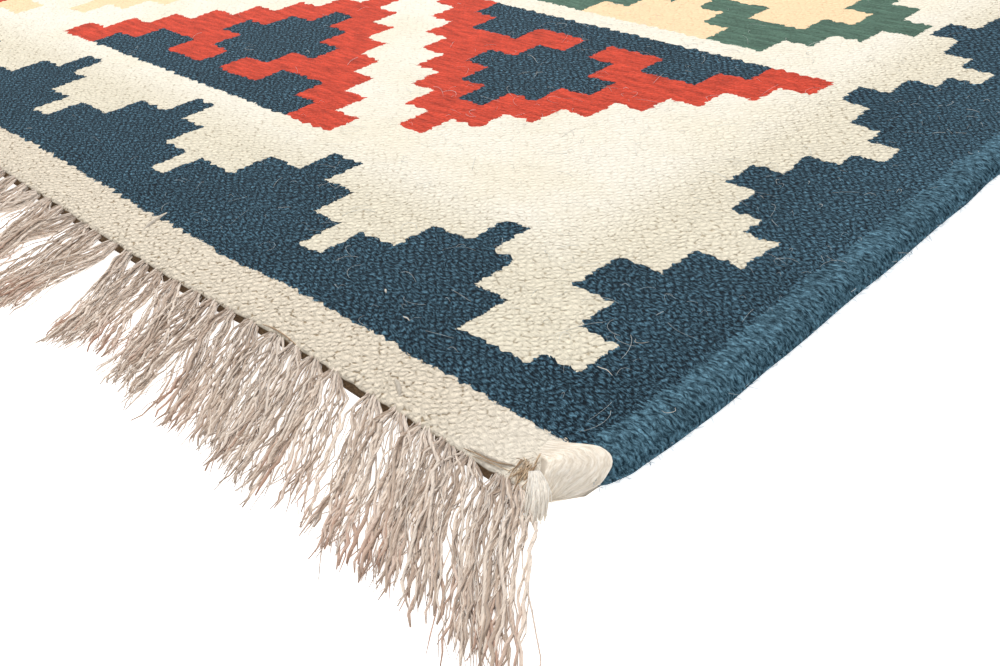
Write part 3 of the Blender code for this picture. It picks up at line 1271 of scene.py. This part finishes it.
@dataclass(frozen=True)
class CornerWrap(Woven):
    """The ivory wool that is wound over the corded edge at a corner, and its loose tuft.

    Rows are (distance in from the side, distance in from the woven end, height) in millimetres.
    """

    strands: int = 13
    steps: int = 4
    stations: int = 26
    relief: float = 0.12
    swell: float = 0.8
    # length and width of the winding as its wool's pattern sees it, in metres
    winding: tuple = (0.030, 0.016)
    upper: tuple = (
        (25.0, 16.4, 2.75), (20.0, 17.2, 3.3), (15.6, 18.6, 4.0), (12.2, 19.7, 4.6),
        (8.8, 20.4, 5.1), (4.9, 19.6, 5.0), (1.9, 17.3, 4.3), (0.4, 13.4, 3.2),
        (-0.1, 9.0, 2.0), (1.6, 5.0, 1.1), (4.9, 1.7, 0.2),
    )
    lower: tuple = (
        (25.0, 9.0, 2.4), (20.8, 9.8, 2.6), (17.4, 10.2, 2.9), (14.8, 9.6, 3.6),
        (12.6, 8.6, 4.2), (11.1, 7.2, 4.1), (9.9, 5.6, 3.8), (9.0, 4.2, 3.1), (8.3, 3.0, 2.3),
        (7.4, 1.8, 1.3), (6.8, 0.9, 0.2),
    )
    lift: float = 0.60
    # the winding's hidden side lies this much further in, at this height
    under_in: float = 0.8
    under_height: float = 0.1
    tuft_hairs: int = 84
    tuft_from: tuple = (12.2, 4.6)
    tuft_along: tuple = (-11.6, -11.4)
    tuft_side: tuple = (-0.70, 0.71)
    tangle_hairs: int = 56
    tangle_from: tuple = (15.9, 5.4)
    tangle_along: tuple = (-3.6, -9.5)

    def surface(self) -> Patch:
        """The wound part: lines from the band over the cord, lying side by side.

        A point is the upper and lower edge lines mixed by the share a across the windings. It
        stands off them by swell * sqrt(1 - (2a - 1)^2), and at least by lift over the cord;
        each winding rises by relief * |sin|.

        Returns:
            The patch, measured from the corner.
        """
        rows = self.strands * self.steps + 1
        across = np.linspace(0.0, 1.0, rows)
        along = np.linspace(0.0, 1.0, self.stations)
        ga, gb = np.meshgrid(across, along, indexing="ij")
        low, high = along_table(gb, self.lower), along_table(gb, self.upper)
        over = low + (high - low) * ga[..., None]
        round_off = np.sqrt(np.clip(1.0 - (2.0 * ga - 1.0) ** 2, 0.0, 1.0))
        grow = smooth(gb * 3.0) * (1.0 - 0.7 * smooth(gb * 2.0 - 1.0))
        over[..., 2] += self.swell * round_off * grow
        cord = Selvedge().crest(over[..., 0] * MM, over[..., 1] * MM) / MM
        over[..., 2] = np.maximum(over[..., 2], (cord + self.lift * smooth(gb * 4.0))
                                  * (cord > 0.0) * (gb > 0.1))
        over[..., 2] += (self.relief * np.abs(np.sin(np.pi * (ga + 0.02 * np.sin(9.0 * gb))
                                                     * self.strands))
                         * smooth(gb * 4.0))
        back = np.linspace(1.0, 0.0, 6)[1:-1]
        ua, ub = np.meshgrid(across, back, indexing="ij")
        low, high = along_table(ub, self.lower), along_table(ub, self.upper)
        under = low + (high - low) * ua[..., None]
        under[..., 0] += self.under_in
        under[..., 2] = self.under_height
        loop = np.concatenate([over, under], axis=1) * [-MM, MM, MM]
        long, wide = self.winding
        u = np.concatenate([along, 1.0 + (1.0 - back) * 0.8, [2.0]]) * long
        uv = np.stack(np.broadcast_arrays(u[None, :], across[:, None] * wide), axis=-1)
        return closed_skin(loop, uv)

    def placed(self, patch: Patch, flip_x: bool, flip_y: bool) -> Patch:
        """Put a patch at a corner of the laid rug.

        Args:
            patch: the patch, measured from the near right corner.
            flip_x: whether it goes to the left.
            flip_y: whether it goes to the far end.

        Returns:
            The patch in its place.
        """
        corner = np.array([self.half_width, -self.half_length, 0.0])
        patch = Patch(patch.points + corner, patch.faces, patch.uv, patch.tint)
        patch = patch.mirrored(flip_x, flip_y)
        patch.points = LIE.laid(patch.points)
        return patch

    def tuft(self, chance: np.random.Generator) -> Patch:
        """Loose ends of the winding: one soft lock and the fine strands that open out of it.

        A strand runs from tuft_from along tuft_along, and fans, waves and bends along
        tuft_side. Every third one is thick and part of the lock.

        Args:
            chance: source of the small differences.

        Returns:
            The strands, measured from the corner.
        """
        n, m = self.tuft_hairs, 12
        t = np.linspace(0.0, 1.0, m)[None, :]
        fan = (np.arange(n) / (n - 1) - 0.5)[:, None] + chance.normal(0.0, 0.05, (n, 1))
        thick = np.arange(n)[:, None] % 3 == 0
        reach = np.where(thick, 0.86, chance.uniform(0.6, 1.02, (n, 1)))
        start, aim, side = np.array([self.tuft_from, self.tuft_along, self.tuft_side])
        spread = fan * np.where(thick, 3.6, 4.6) * (0.5 + 0.8 * np.sin(np.pi * t * 0.62))
        wave = chance.normal(0.0, 0.30, (n, 1)) * np.sin(t * 6.0 + chance.uniform(0, 6, (n, 1)))
        bend = 1.1 * np.sin(np.pi * t)
        plan = (start + aim * (t * reach)[..., None]
                + side * (spread + wave * t + bend)[..., None])
        z = 4.4 + 0.8 * np.sin(np.pi * t * 0.7) - 4.0 * t**1.2 + chance.uniform(0, 0.6, (n, 1)) * t
        z = np.where(thick, z - 0.5, z)
        paths = np.concatenate([plan, np.broadcast_to(z, (n, m))[..., None]], axis=-1)
        swelling = 0.45 + 0.35 * np.sin(np.pi * t) - 0.3 * t
        radius = np.where(thick, swelling, 0.19 - 0.12 * t)
        paths[..., 2] = np.maximum(paths[..., 2], radius)
        paths = paths * [-MM, MM, MM]
        return tubes(paths, np.broadcast_to(radius, (n, m)) * MM, 4,
                     chance.uniform(0.0, 1.0, (n, 2)))

    def tangle(self, chance: np.random.Generator) -> Patch:
        """Brown strands caught at the winding's inner end.

        A strand curls round a circle of its own near tangle_from, which drifts along
        tangle_along as the strand sinks.

        Args:
            chance: source of the small differences.

        Returns:
            The strands, measured from the corner.
        """
        n, m = self.tangle_hairs, 14
        t = np.linspace(0.0, 1.0, m)[None, :]
        size = chance.uniform(0.6, 2.7, (n, 1))
        turn = chance.uniform(0.0, 6.3, (n, 1)) + t * chance.uniform(-4.0, 4.0, (n, 1))
        drift = chance.normal(0.0, 0.9, (n, 2))
        far = chance.uniform(0.4, 1.2, (n, 1))
        s, e = self.tangle_from
        s = s + drift[:, :1] + size * np.cos(turn) + self.tangle_along[0] * t * far
        e = e + drift[:, 1:] + size * np.sin(turn) + self.tangle_along[1] * t * far
        z = 3.6 - 3.4 * smooth(t * far) + chance.uniform(-0.2, 0.5, (n, 1))
        paths = np.stack(np.broadcast_arrays(-s, e, np.maximum(z, 0.3)), axis=-1) * MM
        radius = np.broadcast_to(chance.uniform(0.08, 0.24, (n, 1)), (n, m)) * MM
        return tubes(paths, radius, 4, chance.uniform(0.0, 1.0, (n, 2)))

    def build(self, wool: bpy.types.Material, loose: bpy.types.Material,
              brown: bpy.types.Material) -> list[bpy.types.Object]:
        """Make the windings, the tufts and the tangles of all four corners.

        Args:
            wool: finish of the windings.
            loose: finish of the tufts.
            brown: finish of the tangles.

        Returns:
            The three pieces.
        """
        chance = np.random.default_rng(5)
        flips = [(False, False), (True, False), (False, True), (True, True)]
        kinds = (("corner_windings", self.surface(), wool),
                 ("corner_tufts", self.tuft(chance), loose),
                 ("corner_tangles", self.tangle(chance), brown))
        return [
            Patch.joined([self.placed(patch, *flip) for flip in flips]).make(
                name, material, Slot.CLOTH)
            for name, patch, material in kinds
        ]


# ---- the fringe ------------------------------------------------------------------------------
@dataclass(frozen=True)
class Fringe(Woven):
    """Loose warp yarns along one end, gathered in small bunches that open into locks."""

    margin: float = 0.0160
    bunch_pitch: float = 0.0099
    yarns: int = 14
    wisps: int = 18
    reach: float = 0.0425
    # of the yarns and of the wisps: points along, how far they waver, radius, faces round
    yarn: tuple = (18, 0.0011, 0.00041, 4)
    wisp: tuple = (12, 0.0026, 0.00019, 3)
    # middles of the first bunches, measured from the leading corner, in millimetres
    first_roots: tuple = (15.4, 21.0, 34.8, 44.4, 53.9, 63.9, 74.3)
    # sideways lean of the tips: (distance from the leading corner, lean) in millimetres
    lean: tuple = (
        (0.0, 36.0), (60.0, 33.0), (110.0, 29.0), (175.0, 21.0), (240.0, 9.0), (300.0, 3.0),
        (380.0, -3.0), (470.0, 4.0), (560.0, 9.0), (650.0, 1.0), (740.0, -5.0), (830.0, 2.0),
        (910.0, 6.0),
    )
    # how closely the strands of a bunch keep together: (distance, share)
    gather: tuple = (
        (0.0, 0.12), (115.0, 0.10), (150.0, 0.60), (220.0, 0.80), (320.0, 0.75), (430.0, 0.35),
        (560.0, 0.60), (700.0, 0.25), (910.0, 0.45),
    )
    # bunches beyond merge_from are drawn together towards the middles of groups
    merge_from: float = 105.0
    merge_over: float = 30.0
    group: float = 29.0
    merge: float = 0.62
    # how much bunches differ in place, bend and length, and strands in rank, length and lean
    root_spread: float = 0.0012
    bend_spread: float = 0.0016
    length_spread: float = 0.045
    strand_spread: float = 0.06
    lean_spread: float = 0.0036
    lean_limit: float = 0.0060
    crimp: float = 0.00030
    # a strand starts this deep in the cloth and this high up, in a bunch this wide
    root_depth: float = 0.0022
    root_height: float = 0.0017
    root_width: float = 0.0052
    # it then fans out, sinks to the floor and rises again within the layer
    fan_over: float = 0.0062
    settle_from: float = 0.0018
    settle_over: float = 0.011
    layer: float = 0.0019

    def lines(self, chance: np.random.Generator, per: int, stations: int, stray: float,
              radius: float) -> tuple[np.ndarray, np.ndarray]:
        """Centre lines of the strands of the near end.

        A bunch's strands leave the cloth together and fan out over the next centimetre to a
        width that shrinks with the gather share. The bunch's middle leans as share^1.05 and
        bends by a sine of its own. Each strand wavers by two slow sines and two quick ones,
        the crimp, and sinks from the cloth's middle to the layer that it lies in.

        Args:
            chance: source of the small differences.
            per: strands in each bunch.
            stations: points along a strand.
            stray: how far a strand wavers.
            radius: radius of a strand.

        Returns:
            Array of (strands, stations, 3), and a random value for each strand's bunch.
        """
        span = 2.0 * (self.half_width - self.margin)
        bunches = int(span / self.bunch_pitch)
        pitch = span / bunches
        centre = -span / 2.0 + (np.arange(bunches) + 0.5) * pitch
        centre = centre + chance.uniform(-self.root_spread, self.root_spread, bunches)
        first = len(self.first_roots)
        centre[-first:] = self.half_width - np.array(self.first_roots[::-1]) * MM
        corner = (self.half_width - centre) / MM
        tight = np.clip(eased(corner, self.gather) + chance.normal(0.0, 0.22, bunches), 0.0, 0.92)
        bend = chance.normal(0.0, self.bend_spread, bunches) * (0.5 + 2.0 * tight)
        drift = chance.normal(0.0, self.bend_spread, bunches) * (1.0 + 2.2 * tight)
        length = 1.0 + chance.normal(0.0, self.length_spread, bunches)
        number = np.floor(corner / self.group).astype(int)
        offset = chance.uniform(-5.0, 5.0, number.max() + 1)[number]
        pull = (corner - (number + 0.5) * self.group - offset) * MM * self.merge
        pull = pull * smooth((corner - self.merge_from) / self.merge_over)
        shade = chance.uniform(0.0, 1.0, bunches)
        phases = chance.uniform(0.0, 2.0 * np.pi, bunches)

        def each(value: np.ndarray) -> np.ndarray:
            """Repeat a bunch's value for its strands, as a column."""
            return np.repeat(value, per)[:, None]

        n = bunches * per
        t = np.linspace(0.0, 1.0, stations)[None, :]
        rank = (np.arange(per) + 0.5) / per - 0.5
        rank = np.tile(rank, bunches)[:, None] + chance.normal(0.0, self.strand_spread, (n, 1))
        lock = np.sign(rank) * 0.14 * each(tight)
        wide = pitch * (1.65 - 1.3 * each(tight))
        phase = chance.uniform(0.0, 2.0 * np.pi, (n, 5))
        size = np.clip(chance.normal(0.0, stray, (n, 2)), -2.0 * stray, 2.0 * stray)
        waver = (size[:, :1] * np.sin(t * 4.6 + phase[:, :1])
                 + size[:, 1:] * 0.6 * np.sin(t * 11.0 + phase[:, 1:2]))
        crimp = (self.crimp * np.sin(t * 27.0 + phase[:, 2:3])
                 + self.crimp * np.sin(t * 39.0 + phase[:, 4:5])) * (0.7 + 0.3 * np.sin(t * 9.0))
        leaning = each(eased(corner, self.lean)) * MM
        middle = (each(centre) + (leaning + each(drift)) * t**1.05
                  + each(pull) * smooth(t * 1.25)
                  + each(bend) * np.sin(t * 3.4 + each(phases)) * smooth(t * 1.6))
        own = 1.0 + chance.normal(0.0, self.strand_spread, (n, 1))
        out = self.reach * each(length) * own * t
        fan = smooth((out - self.root_depth) / self.fan_over)
        own_lean = np.clip(chance.normal(0.0, self.lean_spread, (n, 1)),
                           -self.lean_limit, self.lean_limit) * t
        x = (middle + rank * (self.root_width * (1.0 - fan) + wide * fan) + lock * pitch * fan
             + own_lean + waver * smooth(t * 2.0) + crimp * smooth(t * 6.0))
        dx, dy, _ = LIE.move(each(centre), np.full((n, 1), -self.half_length))
        y = -self.half_length + self.root_depth - out + dy + crimp * 0.7 * smooth(t * 6.0)
        floor = radius * 1.05
        rise = chance.uniform(0.0, 1.0, (n, 1))
        settle = smooth((out - self.settle_from) / self.settle_over)
        hump = rise * self.layer * (0.6 + 0.4 * np.sin(t * 6.0 + phase[:, 3:4])) * smooth(t * 3.0)
        z = (self.root_height + 0.0007 * rise) * (1.0 - settle) + floor * settle
        z = z + hump * (1.0 - 0.45 * smooth(t * 1.5 - 0.5))
        return np.stack([x + dx, y, np.maximum(z, floor)], axis=-1), each(shade)[:, 0]

    def build(self, near: bool, yarn: bpy.types.Material, wisp: bpy.types.Material,
              seed: int) -> list[bpy.types.Object]:
        """Make one end's yarns and the finer wisps among them.

        Args:
            near: whether this is the near end; the far one is turned by half a turn.
            yarn: finish of the yarns.
            wisp: finish of the wisps.
            seed: start of the random numbers.

        Returns:
            The two pieces. The first stands for the end's CAD node.
        """
        word = "near" if near else "far"
        made = []
        for kind, per, form, material in (("yarns", self.yarns, self.yarn, yarn),
                                          ("wisps", self.wisps, self.wisp, wisp)):
            stations, stray, radius, sides = form
            chance = np.random.default_rng(seed)
            lines, shade = self.lines(chance, per, stations, stray, radius)
            if not near:
                lines = lines * np.array([-1.0, -1.0, 1.0])
            n = len(lines)
            t = np.linspace(0.0, 1.0, stations)[None, :]
            thick = radius * chance.uniform(0.70, 1.30, (n, 1))
            ply = 1.0 + 0.14 * np.sin(t * 50.0 + chance.uniform(0.0, 6.0, (n, 1)))
            radii = thick * ply * (1.0 - 0.55 * smooth((t - 0.90) / 0.10))
            tint = chance.uniform(0.0, 1.0, (n, 2))
            tint[:, 1] = 0.5 * tint[:, 1] + 0.5 * shade
            patch = tubes(lines, radii, sides, tint)
            made.append(patch.make(f"fringe_{word}_{kind}", material, Slot.FRINGE))
        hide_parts(f"fringe_{word}")
        return made


@dataclass(frozen=True)
class LooseThreads(Woven):
    """Single threads and specks of lint near the leading corner. Two of the tan threads are
    painted shade beneath two of the band's threads.

    Rows are (radius, points); a point is (distance in from the side, distance in from the
    woven end, height), and all lengths are in millimetres.
    """

    pale: tuple = (
        (0.12, ((35.2, 46.6, 3.3), (33.4, 46.1, 3.8), (31.4, 46.4, 3.8), (29.2, 46.0, 3.3))),
        (0.30, ((111.0, 35.2, 3.3), (110.4, 35.0, 3.7), (109.9, 34.6, 3.7), (109.4, 34.4, 3.3))),
        (0.20, ((95.4, 29.4, 3.3), (94.4, 29.0, 3.6), (93.2, 29.2, 3.6), (92.2, 29.0, 3.3))),
        (0.06, ((8.2, 40.6, 4.9), (6.4, 40.2, 5.2), (5.2, 42.0, 5.2), (6.4, 43.6, 4.9))),
        (0.06, ((35.6, 62.6, 3.3), (34.0, 60.6, 4.0), (32.4, 61.2, 4.0), (31.6, 63.6, 3.4))),
    )
    band: tuple = (
        (0.80, ((212.6, 23.4, 2.7), (211.0, 18.2, 3.1), (209.2, 13.6, 3.1), (207.7, 9.6, 2.6))),
        (0.70, ((74.5, 8.8, 2.5), (71.6, 7.6, 3.1), (68.6, 5.8, 3.1), (66.2, 3.8, 2.4))),
        (0.55, ((38.0, 1.8, 2.3), (31.0, 2.2, 2.9), (24.0, 2.8, 3.0), (17.4, 4.8, 3.0))),
        (0.42, ((33.0, 1.1, 2.3), (28.0, 1.3, 2.7), (23.0, 2.0, 2.8), (17.0, 3.4, 2.6))),
    )
    # the first two lie along the lower side of the last two band threads: the brown shade beneath
    # them, painted with thread
    tan: tuple = (
        (0.16, ((37.5, 0.9, 2.6), (31.0, 1.3, 3.3), (25.0, 1.6, 3.5), (19.5, 3.8, 3.4))),
        (0.13, ((34.0, 0.3, 2.4), (28.0, 0.8, 3.1), (22.0, 1.5, 3.2), (17.6, 2.4, 2.8))),
        (0.20, ((128.0, 0.4, 2.4), (121.0, 0.9, 3.0), (114.0, 0.6, 3.0), (107.0, 0.1, 2.2))),
    )
    stations: int = 16

    def build(self, name: str, rows: tuple, material: bpy.types.Material) -> bpy.types.Object:
        """Make the threads of one wool: smooth lines through their points, thin at the tips.

        Args:
            name: name of the piece.
            rows: the threads.
            material: their finish.

        Returns:
            The piece.
        """
        t = np.linspace(0.0, 1.0, self.stations)
        paths = np.stack([along_table(t, points) for _, points in rows]) * [-MM, MM, MM]
        paths = LIE.laid(paths + np.array([self.half_width, -self.half_length, 0.0]))
        thick = np.array([[radius] for radius, _ in rows]) * MM
        radii = thick * (0.35 + 0.65 * np.sin(np.pi * t) ** 0.5)
        chance = np.random.default_rng(3)
        patch = tubes(paths, radii, 6, chance.uniform(0.2, 0.6, (len(rows), 2)))
        return patch.make(name, material, Slot.CLOTH)


# ---- stray hair ------------------------------------------------------------------------------
@dataclass(frozen=True)
class Hair(Woven):
    """Fine hairs on the cloth and along its corded edges."""

    on_cloth: int = 900
    near_corner: int = 420
    on_edge: int = 1800
    # half the width and length that hairs are scattered over
    across: float = 0.44
    along: float = 0.57
    # the leading corner's part of that: its outer corner, and its share of width and length
    corner: tuple = (0.45, -0.565)
    corner_share: tuple = (0.26, 0.22)
    # least and greatest: height of an arc, length of an edge's hair, height and radius there
    arc: tuple = (0.0002, 0.0012)
    edge_length: tuple = (0.0006, 0.0024)
    edge_height: tuple = (0.0006, 0.0044)
    edge_radius: tuple = (0.00003, 0.00007)

    def scattered(self, chance: np.random.Generator) -> Patch:
        """Hairs that lie on the cloth: long arcs that rise a little off it.

        Some are scattered evenly, the rest near the leading corner. A hair turns by angle +
        curl * t on its way, and its height is a half sine of t.

        Args:
            chance: source of the small differences.

        Returns:
            The hairs.
        """
        n, m = self.on_cloth + self.near_corner, 7
        x = chance.uniform(-self.across, self.across, (n, 1))
        y = chance.uniform(-self.along, self.along, (n, 1))
        rest = slice(self.on_cloth, None)
        x[rest] = self.corner[0] - self.corner_share[0] * (self.across - x[rest])
        y[rest] = self.corner[1] + self.corner_share[1] * (self.along + y[rest])
        angle = chance.uniform(0.0, 2.0 * np.pi, (n, 1))
        curl = chance.normal(0.0, 1.9, (n, 1))
        length = 0.002 + 0.011 * chance.uniform(0.0, 1.0, (n, 1)) ** 2
        t = np.linspace(0.0, 1.0, m)[None, :]
        turn = angle + curl * t
        step = length / (m - 1)
        px = x + np.cumsum(np.cos(turn), axis=1) * step
        py = y + np.cumsum(np.sin(turn), axis=1) * step
        pz = 0.0032 + np.sin(np.pi * t) * chance.uniform(*self.arc, (n, 1))
        radii = 0.00003 + 0.00004 * chance.uniform(0.0, 1.0, (n, 1)) ** 2
        radii = np.broadcast_to(radii, (n, m))
        tint = np.stack([chance.uniform(0, 1, n), np.ones(n)], axis=-1)
        return tubes(np.stack(np.broadcast_arrays(px, py, pz), axis=-1), radii, 3, tint)

    def on_sides(self, chance: np.random.Generator, side: float) -> Patch:
        """Fuzz of a corded edge: short hairs that stand out to the side.

        Args:
            chance: source of the small differences.
            side: 1 for the right edge, -1 for the left one.

        Returns:
            The hairs.
        """
        n, m = self.on_edge, 4
        y = chance.uniform(-self.half_length + 0.01, self.half_length, (n, 1))
        dx, dy, _ = LIE.move(np.full_like(y, side * self.half_width), y)
        t = np.linspace(0.0, 1.0, m)[None, :]
        length = chance.uniform(*self.edge_length, (n, 1))
        height = chance.uniform(*self.edge_height, (n, 1))
        back = 0.0006 + 0.006 * np.clip(height / 0.0046, 0, 1) ** 4
        px = side * (self.half_width - back + length * t) + dx
        py = y + dy + chance.normal(0.0, 0.0012, (n, 1)) * t
        pz = np.maximum(height + chance.normal(0.0, 0.0009, (n, 1)) * t**1.5, 0.0001)
        radii = np.broadcast_to(chance.uniform(*self.edge_radius, (n, 1)), (n, m))
        tint = np.stack([chance.uniform(0, 1, n), chance.uniform(0, 0.56, n)], axis=-1)
        return tubes(np.stack([px, py, pz], axis=-1), radii, 3, tint)

    def build(self, material: bpy.types.Material) -> bpy.types.Object:
        """Make all the hairs as one piece.

        Args:
            material: their finish.

        Returns:
            The piece.
        """
        chance = np.random.default_rng(21)
        parts = [self.scattered(chance), self.on_sides(chance, 1.0), self.on_sides(chance, -1.0)]
        return Patch.joined(parts).make("stray_hairs", material, Slot.CLOTH)


# ---- the room --------------------------------------------------------------------------------
@dataclass(frozen=True)
class Studio:
    """Pale floor, soft light and the photograph's camera."""

    eye: tuple = (0.60251, -0.74024, 0.18785)
    right: tuple = (0.702466, 0.706956, -0.082189)
    up: tuple = (-0.335542, 0.430805, 0.837746)
    back: tuple = (0.627657, -0.560910, 0.539839)
    lens: float = 44.489
    sensor: float = 36.0
    clip: tuple = (0.01, 20.0)
    floor_half: float = 6.0
    floor_height: float = -0.0001
    floor_tones: tuple = ((0.93, 0.93, 0.94, 1.0), (0.96, 0.96, 0.96, 1.0))
    floor_roughness: float = 0.8
    floor_specular: float = 0.1
    floor_glow: float = 0.75
    sky_tone: tuple = (0.97, 0.98, 1.0, 1.0)
    sky_strength: float = 0.71
    lamp_at: tuple = (-1.3, 0.8, 1.7)
    lamp_aim: tuple = (0.2, -0.3, 0.0)
    lamp_size: float = 1.6
    lamp_power: float = 72.0
    lamp_tone: tuple = (1.0, 0.985, 0.96)

    def camera(self) -> None:
        """Place the camera where the photograph was taken from."""
        data = bpy.data.cameras.new("photo_camera")
        data.sensor_width, data.lens = self.sensor, self.lens
        data.clip_start, data.clip_end = self.clip
        camera = stood("photo_camera", data)
        columns = np.array([self.right, self.up, self.back, self.eye]).T
        camera.matrix_world = Matrix([*columns.tolist(), [0.0, 0.0, 0.0, 1.0]])
        bpy.context.scene.camera = camera

    def floor(self) -> None:
        """Lay a wide pale floor."""
        corners = np.array([[-1.0, -1.0], [1.0, -1.0], [1.0, 1.0], [-1.0, 1.0]])
        mesh = bpy.data.meshes.new("floor")
        points = np.column_stack([corners * self.floor_half, np.full(4, self.floor_height)])
        mesh.from_pydata(points.tolist(), [], [[0, 1, 2, 3]])
        bench = Bench("pale_floor")
        place = bench.add("TexCoord", {}, {}, "Object")
        grain = bench.noise(place, 3.0, 2.0)
        sockets = {
            "Base Color": bench.mix(grain, *self.floor_tones),
            "Roughness": self.floor_roughness,
            "Specular IOR Level": self.floor_specular,
            "Emission Color": (1.0, 1.0, 1.0, 1.0),
            "Emission Strength": self.floor_glow,
        }
        for name, value in sockets.items():
            bench.plug(bench.shader.inputs[name], value)
        mesh.materials.append(bench.material)
        floor = stood("floor", mesh)

    def lights(self) -> None:
        """Hang one large soft lamp and fill the room with pale light."""
        world = bpy.data.worlds.new("room")
        world.use_nodes = True
        sky = world.node_tree.nodes["Background"]
        sky.inputs["Color"].default_value = self.sky_tone
        sky.inputs["Strength"].default_value = self.sky_strength
        bpy.context.scene.world = world
        data = bpy.data.lights.new("soft_lamp", "AREA")
        data.shape, data.size, data.energy = "DISK", self.lamp_size, self.lamp_power
        data.color = self.lamp_tone
        lamp = stood("soft_lamp", data)
        lamp.location = self.lamp_at
        aim = Vector(self.lamp_aim) - lamp.location
        lamp.rotation_euler = aim.to_track_quat("-Z", "Y").to_euler()
        bpy.context.scene.view_settings.view_transform = "Standard"


def main() -> None:
    logging.basicConfig(level=logging.INFO, format="%(name)s: %(message)s")
    studio = Studio()
    studio.camera()
    studio.floor()
    studio.lights()
    woven = WovenWool().build()
    navy = WrappedWool("wound_navy_wool", tone(107, 148, 168), tone(18, 44, 57), 0.08,
                       0.9).build()
    ivory = WrappedWool("wound_ivory_wool", tone(252, 244, 231), tone(233, 219, 199), 0.10,
                        0.24).build()
    yarn = PlyYarn("fringe_yarn", tone(236, 220, 204), tone(190, 168, 149),
                   tone(180, 138, 116)).build()
    wisp = PlyYarn("fringe_wisp", tone(246, 233, 219), tone(212, 193, 177),
                   tone(198, 160, 140)).build()
    tuft = PlyYarn("ivory_tuft", tone(255, 249, 238), tone(250, 240, 225),
                   tone(252, 243, 229), 0.04).build()
    brown = PlyYarn("tangled_yarn", tone(228, 204, 170), tone(186, 152, 116),
                    tone(190, 156, 122)).build()
    hair = StrayHair().build()

    cloth = Cloth().build(woven)
    others = [
        Selvedge().build("selvedge_right", False, navy),
        Selvedge().build("selvedge_left", True, navy),
        *CornerWrap().build(ivory, tuft, brown),
        *Fringe().build(True, yarn, wisp, 31),
        *Fringe().build(False, yarn, wisp, 47),
        LooseThreads().build("pale_threads", LooseThreads.pale, tuft),
        # tan threads, two of them painted shade beneath band threads
        LooseThreads().build("tan_threads_and_shade", LooseThreads.tan, brown),
        LooseThreads().build("band_threads", LooseThreads.band, ivory),
        Hair().build(hair),
    ]


if __name__ == "__main__":
    main()
